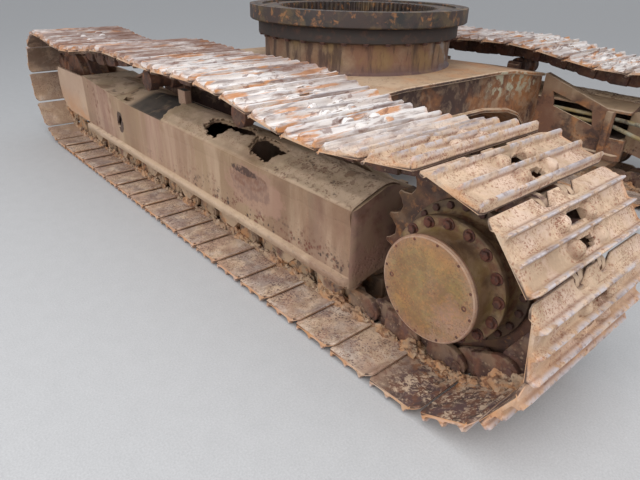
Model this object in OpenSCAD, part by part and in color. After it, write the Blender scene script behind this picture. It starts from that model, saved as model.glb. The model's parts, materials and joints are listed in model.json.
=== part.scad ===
// Undercarriage of a 20 tonne class crawler excavator, with its swing bearing.
// X points forward to the idlers, Y to the left, Z up. The origin lies on the ground under the swing axis.

/* [Track chain] */
// Distance between two track pins
pitch = 190; // [170:1:216]
// Track shoes on each side
shoes = 46; // [42:1:52]
// Width of a track shoe
shoe_w = 600; // [450:10:800]
// Height of a grouser above its plate
grouser_h = 26; // [18:1:34]
// Thickness of a shoe plate
plate_t = 10; // [8:1:14]
// Height from the pins to the shoe plates
seat_h = 42; // [36:1:50]
// Height from the pins to the rail that the rollers run on
rail_h = 58; // [50:1:64]
// Width of the chain over its links
chain_w = 168; // [150:1:190]
// Thickness of a link
link_t = 40; // [32:1:46]
// Distance between the middles of both tracks
gauge = 2200; // [1990:10:2600]

/* [Upper run] */
// Place of the rear carrier roller, from the swing axis
carrier_rear_x = -520; // [-620:10:-340]
// Place of the front carrier roller, from the swing axis
carrier_front_x = 395; // [300:5:560]
// Radius of a carrier roller
carrier_r = 56; // [50:1:60]
// Height by which the carrier rollers lift the chain above the wheels' tops
carrier_lift = 32; // [0:2:40]
// Sag of the chain behind the rear carrier roller
sag_rear = 62; // [0:2:80]
// Sag of the chain between the carrier rollers
sag_middle = 14; // [0:2:30]
// Sag of the chain before the front carrier roller
sag_front = 56; // [0:2:80]

/* [Drive] */
// Teeth of a sprocket, of which every second one carries a bushing
teeth = 21; // [21:2:23]
// Thickness of the sprocket's toothed rim
sprocket_t = 62; // [50:1:70]
// Radius of the final drive's case between its two flanges
case_r = 184; // [170:1:190]
// Radius of the flange that carries the sprocket
flange_r = 222; // [215:1:235]
// Radius of the flange in the middle of the final drive
hub_flange_r = 196; // [192:1:205]
// Radius of the hub behind the cover
hub_r = 154; // [140:1:160]
// Radius of the final drive's cover
cover_r = 164; // [140:1:170]
// Distance from the track's outer edge to the final drive's cover
cover_inset = 76; // [60:1:100]
// Radius of the travel motor
motor_r = 112; // [90:1:120]
// Length of the travel motor inboard of its bracket
motor_l = 160; // [140:5:165]

/* [Track frame] */
// Width of the track frame over its side plates
frame_w = 340; // [320:2:360]
// Height of the frame's lower edge above the ground
frame_bottom = 205; // [200:1:215]
// Height of the edge where a side plate meets the roof
frame_ridge = 495; // [470:1:510]
// Height of the frame's roof
frame_top = 548; // [530:1:548]
// Thickness of the frame's plates
plate = 12; // [8:1:16]
// Track rollers on each side
roller_count = 7; // [6:1:8]
// Radius of a track roller's tread
roller_r = 75; // [68:1:78]

/* [Carbody] */
// Distance of the front and rear webs from the swing axis
carbody_reach = 770; // [720:5:800]
// Height of the top plate under the pedestal
carbody_top = 700; // [680:5:720]
// Height of the legs' top edge at the track frames
leg_top = 640; // [620:5:660]
// Height of the belly above the ground
belly_z = 480; // [450:5:500]
// Height of the legs' lower edge at the track frames
leg_bottom = 265; // [250:5:300]

/* [Swing bearing] */
// Outer radius of the pedestal
pedestal_r = 554; // [540:1:570]
// Height of the pedestal's top face
pedestal_top = 930; // [910:2:930]
// Outer radius of the turning ring
ring_r = 638; // [625:1:650]
// Height of the turning ring's lower face
ring_bottom = 935; // [925:1:945]
// Height of the turning ring
ring_h = 78; // [70:1:90]
// Radius of the raceway between both rings
race_r = 566; // [560:1:570]
// Running clearance in the raceway
race_gap = 0.4; // [0.3:0.1:0.6]
// Teeth of the inner ring's gear
gear_teeth = 90; // [80:2:100]
// Bolts round the turning ring
ring_bolts = 36; // [24:4:48]
// Diameter of those bolt holes
ring_bolt_d = 22; // [18:1:26]

/* [Hidden] */
$fn = 64;

// Colours of the worn steel
dust = [0.62, 0.52, 0.38];
rust = [0.42, 0.26, 0.18];
dark_steel = [0.24, 0.20, 0.18];
shoe_steel = [0.60, 0.52, 0.44];
drive_paint = [0.50, 0.42, 0.27];
rubber = [0.12, 0.12, 0.12];

// Pin line of the chain: heights of its lower run, wheel centres and upper run
pin_low = grouser_h + plate_t + seat_h;
pin_r = pitch / 2 / sin(360 / teeth);
axle_z = pin_low + pin_r;
pin_high = pin_low + 2 * pin_r;

// The wheelbase follows from the shoes, less both wraps and the extra length of the sagging spans
wraps = teeth / 2;
base_guess = (shoes - wraps) * pitch / 2;
span_guess = [
    carrier_rear_x + base_guess / 2,
    carrier_front_x - carrier_rear_x,
    base_guess / 2 - carrier_front_x
];
sags = [sag_rear, sag_middle, sag_front];
lifts = [0, carrier_lift, carrier_lift, 0];
sag_extra = sum([for (i = [0:2])
    (pow(PI * sags[i] / 2, 2) + pow(lifts[i + 1] - lifts[i], 2) / 2) / span_guess[i]]);
wheelbase = ((shoes - wraps) * pitch - sag_extra) / 2;
sprocket_x = -wheelbase / 2;
idler_x = wheelbase / 2;

function sum(list, i = 0) = i < len(list) ? list[i] + sum(list, i + 1) : 0;

// The chain hangs lowest towards the wheels: place along a span, 0 to 1, moved towards them
sag_skew = 0.8;
function skewed(i, t) = i == 0 ? pow(t, sag_skew) : i == 1 ? t : 1 - pow(1 - t, sag_skew);
function span_z(i, t) =
    pin_high + lifts[i] + (lifts[i + 1] - lifts[i]) * t - sags[i] * (1 - cos(360 * skewed(i, t))) / 2;

// Fine points along the pin line, from under the idler back, round the sprocket, forward and down
supports = [sprocket_x, carrier_rear_x, carrier_front_x, idler_x];
span_steps = 20;
arc_step = 5;
line_points = concat(
    [for (a = [0:arc_step:180]) [sprocket_x - pin_r * sin(a), axle_z - pin_r * cos(a)]],
    [for (i = [0:2]) for (j = [1:span_steps]) let (t = j / span_steps)
        [supports[i] + (supports[i + 1] - supports[i]) * t, span_z(i, t)]],
    [for (a = [arc_step:arc_step:180]) [idler_x + pin_r * sin(a), axle_z + pin_r * cos(a)]]
);
line_count = len(line_points);
function line_step(i) = norm(line_points[i] - line_points[(i + line_count - 1) % line_count]);
function add_up(i, s) = i == line_count ? [] : concat([s + line_step(i)], add_up(i + 1, s + line_step(i)));
line_lengths = add_up(0, 0);
line_total = line_lengths[line_count - 1];
last_point = line_points[line_count - 1];
x_table = concat([[0, last_point[0]]], [for (i = [0:line_count - 1]) [line_lengths[i], line_points[i][0]]]);
z_table = concat([[0, last_point[1]]], [for (i = [0:line_count - 1]) [line_lengths[i], line_points[i][1]]]);
function on_line(s) = [lookup(s % line_total, x_table), lookup(s % line_total, z_table)];

// Pins one pitch apart along the pin line
function next_pin(s, guess, rounds) =
    rounds == 0 ? guess : next_pin(s, guess + pitch - norm(on_line(guess) - on_line(s)), rounds - 1);
function walk(s, count) = count == 0 ? [s] : concat([s], walk(next_pin(s, s + pitch, 5), count - 1));
walked = walk(0, shoes);
closing = line_total / walked[shoes];
pins = [for (i = [0:shoes - 1]) on_line(walked[i] * closing)];

// A point on shoe i: u along it from its first pin, v outward from its pin line
function on_shoe(i, u, v) =
    let (
        a = pins[i],
        b = pins[(i + 1) % shoes],
        t = (b - a) / norm(b - a),
        n = [-t[1], t[0]]
    )
    a + u * t + v * n;
// A point off pin i, v outward along the middle between both of its links
function off_pin(i, v) =
    let (
        t = pins[(i + 1) % shoes] - pins[(i + shoes - 1) % shoes],
        n = [-t[1], t[0]] / norm(t)
    )
    pins[i] + v * n;

// Rail of the upper run, and the axis of a carrier roller under it
upper_rail = [for (i = [0:shoes - 1]) let (p = off_pin(i, -rail_h)) if (p[1] > axle_z + pin_r / 2) p];
function carrier_z(x) = lookup(x, upper_rail) - carrier_r - fit;

// Outline of a shoe with its three grousers: columns are the place along the shoe and the height.
// The trailing end overlaps the curved lip of the shoe before it.
plate_top = seat_h + plate_t;
grouser_tip = plate_top + grouser_h;
SHOE = [
    [0.055, seat_h + 4],
    [0.065, plate_top],
    [0.115, grouser_tip],
    [0.150, grouser_tip],
    [0.200, plate_top],
    [0.445, plate_top],
    [0.482, grouser_tip],
    [0.518, grouser_tip],
    [0.555, plate_top],
    [0.800, plate_top],
    [0.850, grouser_tip],
    [0.885, grouser_tip],
    [0.930, plate_top],
    [0.990, plate_top - 3]
];

// Wheels of the chain
link_gap = chain_w - 2 * link_t;
tread_r = pin_r * cos(180 / wraps) - rail_h;
idler_flange_r = tread_r + 20;
tooth_root = pin_r - 30;
tooth_tip = pin_r + 8;
// Angle of the first pin that has met the sprocket, which sets a gap between teeth there
wrap_angles = [for (p = pins) if (p[0] < sprocket_x - pin_r / 2) atan2(p[1] - axle_z, p[0] - sprocket_x)];
tooth_phase = wrap_angles[0];

// Track frame
frame_rear = sprocket_x + tooth_tip + 26;
idler_space = 196;
frame_front = idler_x - tread_r - idler_space;
lip = 20;
lip_h = 30;
end_radius = 46;
// The outboard edge rises from the ridge here up to the roof's height at the front
rise_x = 540;
// Slot in the side plate: its middle, length and width
slot_back = 560;
slot_x = frame_front - slot_back;
slot_z = frame_bottom + 162;
slot_l = 90;
slot_w = 34;
slot_lean = 38;
// Post on the roof between the carrier rollers
post_x = 142;
post_l = 76;
post_t = 34;
post_h = 74;
channel_w = frame_w - 60;
rail_z = pin_low + rail_h;
channel_top = rail_z + 2 * roller_r + 34;
roof_flat = 36;
gusset_t = 14;
// Flange along the gusset's top edge
gusset_flange_w = 56;
// Opening for the hoses at the frame's rear end, the upright before it, and the gusset up to the carbody
bay_l = 88;
upright_x = frame_rear + bay_l + 2;
upright_w = 36;
upright_d = 34;
upright_gap = 44;
gusset_l = -upright_x - upright_gap - carbody_reach;
// Slanted window in the rear gusset
window_front = -carbody_reach - 70;
window_top = frame_ridge + 45;
window_end = 157;
window_l = gusset_l - window_end;
window_h = 88;
window_drop = 72;
window_lean = 20;
// Track rollers: the rear two stand close together, the others at even steps up to the front one
roller_z = rail_z + roller_r;
roller_flange_r = roller_r + 14;
roller_rear_x = frame_rear + plate + roller_flange_r + 6;
roller_front_x = frame_front - 130;
roller_pair = 280;
roller_step = (roller_front_x - roller_rear_x - roller_pair) / (roller_count - 2);
roller_xs = concat(
    [roller_rear_x],
    [for (i = [0:roller_count - 2]) roller_rear_x + roller_pair + i * roller_step]);
foot_w = 160;
foot_tip_w = 60;
foot_bottom = rail_z + 9;
// Fork of the idler
yoke_boss_r = 78;
yoke_h = 120;
yoke_head_l = 46;
rod_r = 42;

// Drive, measured outward from the middle of the track
bracket_in = -chain_w / 2 - 46;
bracket_out = -chain_w / 2 - 11;
bracket_r = 205;
spindle_r = 140;
fit = 0.3;
flange_t = 26;
hub_face = shoe_w / 2 - 163;
hub_flange_t = 26;
cover_t = 16;
cover_out = shoe_w / 2 - cover_inset;
cover_in = cover_out - cover_t;

// Carbody
frame_inner_y = gauge / 2 - frame_w / 2;
leg_w = 360;
waist_y = 640;
// Depth of the webs behind the edges of the top and belly plates, and the width of those edges
web_recess = 18;
rim_t = 20;
bore_r = 150;
pedestal_wall = 30;
pedestal_flange_r = 590;
pedestal_flange_h = 68;
pedestal_weld = 14;
gear_root_r = 470;
gear_tip_r = 452;
// Height by which the outer ring stands above the inner one
ring_step = 10;

// Centre swivel
swivel_z = belly_z + 60;
swivel_foot_h = 40;
swivel_body_r = 95;
swivel_body_h = 330;
swivel_neck_r = 72;
swivel_neck_h = 70;

// Travel hoses, from the leg's end through the frame's inboard wall and its open end to the motor
hose_r = 12;
hose_sides = 10;
hose_bend_r = 30;
hose_inset = 40;
hose_turn = 180;
hose_stub = 60;
motor_y = bracket_in - motor_l / 2;
// Each row: distance of its port in from the rear web, its depth below the ridge, angle on the motor
HOSE = [
    [130, 55, 15],
    [210, 95, -12]
];

// Lays a piece made about the Z axis along the Y axis at a place in the side view
module across(x, z, y0 = 0) {
    translate([x, y0, z]) rotate([-90, 0, 0]) children();
}

// Extrudes a side view in X and Z from y0 to y1
module side_view(y0, y1) {
    translate([0, y1, 0]) rotate([90, 0, 0]) linear_extrude(y1 - y0) children();
}

// Extrudes a section in Y and Z from x0 to x1
module section(x0, x1) {
    translate([x0, 0, 0]) rotate([90, 0, 90]) linear_extrude(x1 - x0) children();
}

// Puts a left piece, made about the middle of its track, on its side
module on_side(side) {
    if (side == "left") translate([0, gauge / 2, 0]) children();
    if (side == "right") mirror([0, 1, 0]) translate([0, gauge / 2, 0]) children();
}

module track() {
    color(shoe_steel) {
        side_view(-shoe_w / 2, shoe_w / 2) difference() {
            polygon([for (i = [0:shoes - 1]) for (p = SHOE) on_shoe(i, p[0] * pitch, p[1])]);
            polygon([for (i = [0:shoes - 1]) off_pin(i, seat_h)]);
        }
        for (y = [-chain_w / 2, chain_w / 2 - link_t]) side_view(y, y + link_t) difference() {
            polygon([for (i = [0:shoes - 1]) off_pin(i, seat_h + 3)]);
            polygon([for (i = [0:shoes - 1]) off_pin(i, -rail_h)]);
        }
    }
}

module sprocket() {
    tooth = 360 / teeth;
    color(dark_steel) across(sprocket_x, axle_z, -sprocket_t / 2) difference() {
        linear_extrude(sprocket_t) polygon([for (i = [0:teeth - 1])
            for (p = [[-0.16, tooth_root], [0.16, tooth_root], [0.36, pin_r - 8], [0.42, tooth_tip],
                [0.58, tooth_tip], [0.64, pin_r - 8]])
                let (a = -tooth_phase + (i + p[0]) * tooth) p[1] * [cos(a), sin(a)]]);
        translate([0, 0, -1]) cylinder(r = spindle_r + fit, h = sprocket_t + 2);
    }
}

module final_drive() {
    sprocket_face = sprocket_t / 2;
    color(drive_paint) across(sprocket_x, axle_z) rotate_extrude() polygon([
        [0, bracket_out],
        [spindle_r, bracket_out],
        [spindle_r, sprocket_face],
        [flange_r, sprocket_face],
        [flange_r, sprocket_face + flange_t],
        [case_r + 8, sprocket_face + flange_t + 4],
        [case_r, sprocket_face + flange_t + 14],
        [case_r, hub_face - hub_flange_t],
        [hub_flange_r, hub_face - hub_flange_t + 5],
        [hub_flange_r, hub_face],
        [hub_r + 8, hub_face],
        [hub_r + 2, hub_face + 12],
        [hub_r, hub_face + 34],
        [hub_r, cover_in],
        [0, cover_in]
    ]);
}

module drive_cover() {
    color(drive_paint) across(sprocket_x, axle_z) rotate_extrude() polygon([
        [0, cover_in],
        [cover_r, cover_in],
        [cover_r, cover_out - 5],
        [cover_r - 5, cover_out],
        [0, cover_out]
    ]);
}

module travel_motor() {
    color(rust) across(sprocket_x, axle_z) {
        translate([0, 0, bracket_in - 34]) cylinder(r = motor_r + 18, h = 34);
        translate([0, 0, bracket_in - motor_l]) cylinder(r = motor_r, h = motor_l - 33);
    }
}

module idler() {
    hub_half = chain_w / 2 + 12;
    color(dark_steel) across(idler_x, axle_z) rotate_extrude() polygon([
        [0, -hub_half],
        [80, -hub_half],
        [95, -chain_w / 2 + 6],
        [tread_r - 40, -chain_w / 2 + 14],
        [tread_r - 30, -chain_w / 2],
        [tread_r, -chain_w / 2],
        [tread_r, -link_gap / 2 + 2],
        [idler_flange_r, -link_gap / 2 + 10],
        [idler_flange_r, link_gap / 2 - 10],
        [tread_r, link_gap / 2 - 2],
        [tread_r, chain_w / 2],
        [tread_r - 30, chain_w / 2],
        [tread_r - 40, chain_w / 2 - 14],
        [95, chain_w / 2 - 6],
        [80, hub_half],
        [0, hub_half]
    ]);
}

// Fork that holds the idler's axle ends, its cross head and the recoil rod
module idler_yoke() {
    arm_in = chain_w / 2 + 12;
    arm_out = frame_w / 2 - 14;
    head_x = idler_x - idler_flange_r - 12 - yoke_head_l;
    color(rust) {
        for (s = [0, 1]) mirror([0, s, 0]) side_view(arm_in, arm_out) union() {
            translate([idler_x, axle_z]) circle(r = yoke_boss_r);
            translate([head_x, axle_z - yoke_h / 2]) square([idler_x - head_x, yoke_h]);
        }
        translate([head_x, -arm_in - 1, axle_z - yoke_h / 2]) cube([yoke_head_l, 2 * arm_in + 2, yoke_h]);
        translate([frame_front, 0, axle_z]) rotate([0, 90, 0])
            cylinder(r = rod_r, h = head_x + 1 - frame_front);
    }
}

module track_rollers() {
    boss_out = channel_w / 2 - fit;
    boss_in = boss_out - 26;
    foot_top = frame_bottom - fit;
    color(dark_steel) for (x = roller_xs) {
        across(x, roller_z) rotate_extrude() polygon([
            [0, 10 - boss_out],
            [34, 10 - boss_out],
            [60, -chain_w / 2 - 16],
            [roller_flange_r, -chain_w / 2 - 14],
            [roller_flange_r, -chain_w / 2 - 2],
            [roller_r, -chain_w / 2],
            [roller_r, -link_gap / 2 + 2],
            [roller_r - 14, -link_gap / 2 + 8],
            [roller_r - 14, link_gap / 2 - 8],
            [roller_r, link_gap / 2 - 2],
            [roller_r, chain_w / 2],
            [roller_flange_r, chain_w / 2 + 2],
            [roller_flange_r, chain_w / 2 + 14],
            [60, chain_w / 2 + 16],
            [34, boss_out - 10],
            [0, boss_out - 10]
        ]);
        for (s = [0, 1]) mirror([0, s, 0]) {
            // Boss round the shaft, and the foot under the frame's edge that hangs from it
            across(x, roller_z, boss_in) difference() {
                cylinder(r = 44, h = boss_out - boss_in);
                translate([0, 0, -1]) cylinder(r = 20, h = boss_out - boss_in + 2);
            }
            side_view(boss_out - 16, frame_w / 2) polygon([
                [x - foot_w / 2, foot_top],
                [x - foot_w / 2, foot_top - 12],
                [x - foot_tip_w / 2, foot_bottom],
                [x + foot_tip_w / 2, foot_bottom],
                [x + foot_w / 2, foot_top - 12],
                [x + foot_w / 2, foot_top]
            ]);
        }
    }
}

module carrier_rollers() {
    color(dark_steel) for (x = [carrier_rear_x, carrier_front_x])
        across(x, carrier_z(x)) rotate_extrude() polygon([
        [0, -chain_w / 2 - 22],
        [26, -chain_w / 2 - 22],
        [26, -chain_w / 2 - 4],
        [carrier_r, -chain_w / 2 - 4],
        [carrier_r, -link_gap / 2 + 4],
        [carrier_r - 14, -link_gap / 2 + 10],
        [carrier_r - 14, link_gap / 2 - 10],
        [carrier_r, link_gap / 2 - 4],
        [carrier_r, chain_w / 2 + 4],
        [40, chain_w / 2 + 12],
        [0, chain_w / 2 + 12]
    ]);
}

// Height of the roof at a distance from the frame's middle
function roof_z(y) =
    frame_top - (abs(y) - roof_flat / 2) * (frame_top - frame_ridge) / (frame_w / 2 - roof_flat / 2);

// Upright on the inboard roof slope that clamps a carrier roller's shaft
module carrier_brackets() {
    near = -chain_w / 2 - 22;
    far = near - 44;
    color(rust) for (x = [carrier_rear_x, carrier_front_x]) section(x - 42, x + 42) polygon([
        [near, roof_z(near)],
        [near, carrier_z(x) + 36],
        [far + 10, carrier_z(x) + 36],
        [far, carrier_z(x) + 20],
        [far, roof_z(far)]
    ]);
}

module frame_section() {
    half = frame_w / 2;
    difference() {
        polygon([
            [-half - lip, frame_bottom],
            [-channel_w / 2, frame_bottom],
            [-channel_w / 2, channel_top],
            [channel_w / 2, channel_top],
            [channel_w / 2, frame_bottom],
            [half + lip, frame_bottom],
            [half + lip, frame_bottom + lip_h],
            [half, frame_bottom + lip_h + 6],
            [half, frame_ridge],
            [roof_flat / 2, frame_top],
            [-roof_flat / 2, frame_top],
            [-half, frame_ridge],
            [-half, frame_bottom + lip_h + 6],
            [-half - lip, frame_bottom + lip_h]
        ]);
        polygon([
            [-half + plate, channel_top + plate],
            [half - plate, channel_top + plate],
            [half - plate, frame_ridge - plate / 2],
            [roof_flat / 2, frame_top - plate],
            [-roof_flat / 2, frame_top - plate],
            [-half + plate, frame_ridge - plate / 2]
        ]);
    }
}

// Plate of the frame's inboard wall in the side view, with its gussets up to the legs
module gusset(side) {
    reach = side * carbody_reach;
    polygon([
        [reach, frame_ridge - 30],
        [reach, leg_top],
        [reach + side * gusset_l, frame_ridge],
        [reach + side * gusset_l, frame_ridge - 30]
    ]);
}

// Slanted window in the rear gusset and wall, where the travel hoses show
module hose_window() {
    polygon([
        [window_front, window_top],
        [window_front - window_l, window_top - window_drop],
        [window_front - window_l - window_lean, window_top - window_drop - window_h],
        [window_front - window_lean, window_top - window_h]
    ]);
}

// End plate in Y and Z, from an inboard side up to the outboard one, with its lower edges there
module frame_end(inboard, low_in, low_out) {
    half = frame_w / 2;
    polygon([
        [inboard, low_in],
        [half, low_out],
        [half, frame_ridge],
        [roof_flat / 2, frame_top],
        [-roof_flat / 2, frame_top],
        [inboard, roof_z(inboard)]
    ]);
}

// The frame seen from above, with both rear corners rounded
module frame_plan() {
    wide = frame_w / 2 + lip;
    straight_x = frame_rear + end_radius;
    union() {
        translate([straight_x, -wide]) square([frame_front - straight_x, 2 * wide]);
        translate([frame_rear, end_radius - wide]) square([end_radius + 1, 2 * (wide - end_radius)]);
        for (s = [-1, 1]) translate([straight_x, s * (wide - end_radius)]) circle(r = end_radius);
    }
}

module frame_box() {
    intersection() {
        union() {
            section(frame_rear, frame_front) frame_section();
            section(frame_rear, frame_rear + plate)
                frame_end(bracket_in, frame_bottom + 55, frame_bottom - 8);
            section(frame_front - plate, frame_front) frame_end(-frame_w / 2, channel_top, channel_top);
        }
        translate([0, 0, frame_bottom - 20]) linear_extrude(frame_top - frame_bottom + 40) frame_plan();
    }
}

// Side plate's edge that rises to the roof's height, with the roof over it
module front_rise() {
    side_view(-frame_w / 2, frame_w / 2) polygon([
        [rise_x, frame_ridge - plate / 2],
        [rise_x, frame_ridge],
        [frame_front - plate, frame_top],
        [frame_front, frame_top],
        [frame_front, frame_ridge - plate / 2]
    ]);
}

// Guide beside the idler
module idler_guide() {
    polygon([
        [frame_front - 1, frame_bottom + 40],
        [idler_x - 70, frame_bottom + 40],
        [idler_x + 30, frame_bottom + 62],
        [idler_x + 86, frame_bottom + 120],
        [idler_x + 104, frame_bottom + 200],
        [idler_x + 92, frame_ridge + 14],
        [idler_x + 62, frame_top - 14],
        [frame_front - 1, frame_top - 8]
    ]);
}

// Bracket that carries the final drive
module drive_bracket() {
    difference() {
        union() {
            translate([sprocket_x, axle_z]) circle(r = bracket_r);
            polygon([
                [sprocket_x, axle_z - bracket_r],
                [frame_rear + 1, frame_bottom + 60],
                [frame_rear + 1, frame_ridge],
                [sprocket_x, axle_z + bracket_r]
            ]);
        }
        translate([sprocket_x, axle_z]) circle(r = 90);
    }
}

// Leaning slot with round ends, through the outboard side plate
module side_slot() {
    translate([slot_x, slot_z]) rotate(slot_lean) union() {
        square([slot_w, slot_l - slot_w], center = true);
        for (s = [-1, 1]) translate([0, s * (slot_l - slot_w) / 2]) circle(d = slot_w);
    }
}

module track_frame() {
    half = frame_w / 2;
    bay_top = frame_ridge - plate;
    bay_bottom = channel_top + plate;
    color(dust) difference() {
        union() {
            frame_box();
            front_rise();
            side_view(-half, -half + gusset_t) union() {
                gusset(-1);
                gusset(1);
            }
            for (s = [-1, 1]) side_view(-half, -half + gusset_flange_w) polygon([
                [s * carbody_reach, leg_top],
                [s * carbody_reach, leg_top - gusset_t],
                [s * (carbody_reach + gusset_l), frame_ridge - gusset_t],
                [s * (carbody_reach + gusset_l), frame_ridge]
            ]);
            translate([upright_x, -half - upright_d, frame_bottom])
                cube([upright_w, upright_d + plate / 2, frame_ridge - frame_bottom - 8]);
            translate([post_x - post_l / 2, -post_t / 2, frame_top - plate / 2])
                cube([post_l, post_t, post_h + plate / 2]);
            for (s = [0, 1]) mirror([0, s, 0]) side_view(half - 13, half) idler_guide();
            side_view(bracket_in, bracket_out) drive_bracket();
        }
        side_view(-half - 1, -half + gusset_t + 1) union() {
            hose_window();
            translate([frame_rear - 1, bay_bottom]) square([bay_l, bay_top - bay_bottom]);
            for (row = HOSE) translate(hose_port(row)) circle(r = hose_r + 8);
        }
        side_view(half - plate - 1, half + 1) side_slot();
    }
}

// Front and rear webs in Y and Z: columns are the distance from the middle and the height
leg_lower = [
    [300, belly_z],
    [560, belly_z - 35],
    [680, belly_z - 75],
    [760, belly_z - 140],
    [820, leg_bottom + 20],
    [frame_inner_y, leg_bottom]
];
leg_upper = [
    [frame_inner_y, leg_top],
    [pedestal_r, carbody_top - 8],
    [400, carbody_top]
];
// Quarter of the carbody seen from above, from the front round to the side
plan_quarter = [
    [carbody_reach, frame_inner_y],
    [carbody_reach - leg_w, frame_inner_y],
    [carbody_reach - leg_w - 40, frame_inner_y - 90],
    [260, waist_y]
];

function backward(list) = [for (i = [len(list) - 1:-1:0]) list[i]];
function across_x(list) = [for (p = list) [-p[0], p[1]]];
function across_y(list) = [for (p = list) [p[0], -p[1]]];

// Whole web from its lower and upper right-hand edges, both moved towards each other by an inset
module leg_profile(inset = 0) {
    lower = [for (p = leg_lower) [p[0] + (p[0] == frame_inner_y ? inset : 0), p[1] + inset]];
    upper = [for (p = leg_upper) [p[0] + (p[0] == frame_inner_y ? inset : 0), p[1] - inset]];
    half = concat(lower, upper);
    polygon(concat(half, across_x(backward(half))));
}

module carbody_plan() {
    front_half = concat(plan_quarter, across_x(backward(plan_quarter)));
    polygon(concat(front_half, across_y(backward(front_half))));
}

module carbody() {
    color(rust) difference() {
        intersection() {
            translate([0, 0, leg_bottom - 1]) linear_extrude(carbody_top - leg_bottom + 2) carbody_plan();
            section(-carbody_reach, carbody_reach) leg_profile();
        }
        translate([0, 0, belly_z - 1]) cylinder(r = bore_r, h = carbody_top - belly_z + 2);
        for (x = [-carbody_reach - 1, carbody_reach - web_recess])
            section(x, x + web_recess + 1) leg_profile(rim_t);
    }
}

module pedestal() {
    color(dust) rotate_extrude() polygon([
        [pedestal_r - pedestal_wall, carbody_top],
        [pedestal_r + pedestal_weld, carbody_top],
        [pedestal_r, carbody_top + pedestal_weld],
        [pedestal_r, pedestal_top - pedestal_flange_h - 10],
        [pedestal_flange_r, pedestal_top - pedestal_flange_h],
        [pedestal_flange_r, pedestal_top],
        [gear_root_r + 8, pedestal_top],
        [gear_root_r + 8, pedestal_top - pedestal_flange_h],
        [pedestal_r - pedestal_wall, pedestal_top - pedestal_flange_h - 20]
    ]);
}

module swing_ring_inner() {
    height = ring_bottom + ring_h - ring_step - pedestal_top;
    step = 360 / gear_teeth;
    color(dark_steel) translate([0, 0, pedestal_top]) linear_extrude(height) difference() {
        circle(r = race_r, $fn = 180);
        polygon([for (i = [0:gear_teeth - 1])
            for (p = [[0.10, gear_root_r], [0.40, gear_root_r], [0.62, gear_tip_r], [0.88, gear_tip_r]])
                let (a = (i + p[0]) * step) p[1] * [cos(a), sin(a)]]);
    }
}

module swing_ring_outer() {
    bolt_r = (ring_r + race_r) / 2;
    color(rust) difference() {
        rotate_extrude($fn = 180) polygon([
            [race_r + race_gap, ring_bottom],
            [ring_r - 6, ring_bottom],
            [ring_r, ring_bottom + 6],
            [ring_r, ring_bottom + ring_h],
            [race_r + race_gap, ring_bottom + ring_h]
        ]);
        for (i = [0:ring_bolts - 1]) rotate(i * 360 / ring_bolts)
            translate([bolt_r, 0, ring_bottom - 1]) cylinder(d = ring_bolt_d, h = ring_h + 2);
    }
}

module centre_swivel() {
    color(dust) {
        translate([0, 0, swivel_z]) cylinder(r = bore_r - fit, h = swivel_foot_h);
        translate([0, 0, swivel_z]) cylinder(r = swivel_body_r, h = swivel_body_h);
        translate([0, 0, swivel_z + swivel_body_h - 1]) cylinder(r = swivel_neck_r, h = swivel_neck_h);
    }
}

// A smooth step from 0 to 1
function ease(t) = (1 - cos(180 * t)) / 2;
function hose_port(row) = [row[0] - carbody_reach, frame_ridge - row[1]];
// Middle line of a hose: out of its port, back along the wall, then over to the motor's side
function hose_route(row) =
    let (
        port = hose_port(row),
        wall = -frame_w / 2,
        run_y = wall + hose_inset,
        turn_x = frame_rear + hose_turn,
        radial = [cos(row[2]), 0, sin(row[2])],
        end = [sprocket_x, motor_y, axle_z] + (motor_r + fit) * radial,
        stub = end + hose_stub * radial
    )
    concat(
        [[port[0], wall + 1, port[1]]],
        [for (a = [0:22.5:90])
            [port[0] - hose_bend_r * (1 - cos(a)), run_y - hose_bend_r * (1 - sin(a)), port[1]]],
        [for (t = [0:0.125:1])
            [
                turn_x + (stub[0] - turn_x) * t,
                run_y + (motor_y - run_y) * ease(t),
                port[1] + (stub[2] - port[1]) * ease(t)
            ]],
        [end]
    );

// Ring of points round a route point, square to the way from its last to its next point
function ring(route, i, r, sides) =
    let (
        t = route[min(i + 1, len(route) - 1)] - route[max(i - 1, 0)],
        side = cross(t, [0, 0, 1]),
        a = side / norm(side),
        up = cross(a, t),
        b = up / norm(up)
    )
    [for (k = [0:sides - 1]) route[i] + r * (cos(360 * k / sides) * a + sin(360 * k / sides) * b)];

module tube(route, r, sides) {
    last = len(route) - 1;
    points = [for (i = [0:last]) for (p = ring(route, i, r, sides)) p];
    walls = [for (i = [0:last - 1]) for (k = [0:sides - 1])
        [i * sides + k, i * sides + (k + 1) % sides, (i + 1) * sides + (k + 1) % sides, (i + 1) * sides + k]];
    start = [[for (k = [sides - 1:-1:0]) k]];
    end = [[for (k = [0:sides - 1]) last * sides + k]];
    polyhedron(points = points, faces = concat(walls, start, end));
}

module travel_hoses() {
    color(rubber) for (row = HOSE) tube(hose_route(row), hose_r, hose_sides);
}

carbody();
pedestal();
swing_ring_inner();
centre_swivel();
swing_ring_outer();
on_side("left") track_frame();  // track_frame_left
on_side("left") track();  // track_left
on_side("left") sprocket();  // sprocket_left
on_side("left") final_drive();  // final_drive_left
on_side("left") drive_cover();  // drive_cover_left
on_side("left") travel_motor();  // travel_motor_left
on_side("left") idler();  // idler_left
on_side("left") idler_yoke();  // idler_yoke_left
on_side("left") track_rollers();  // track_rollers_left
on_side("left") carrier_rollers();  // carrier_rollers_left
on_side("left") carrier_brackets();  // carrier_brackets_left
on_side("left") travel_hoses();  // travel_hoses_left
on_side("right") track_frame();  // track_frame_right
on_side("right") track();  // track_right
on_side("right") sprocket();  // sprocket_right
on_side("right") final_drive();  // final_drive_right
on_side("right") drive_cover();  // drive_cover_right
on_side("right") travel_motor();  // travel_motor_right
on_side("right") idler();  // idler_right
on_side("right") idler_yoke();  // idler_yoke_right
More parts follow.
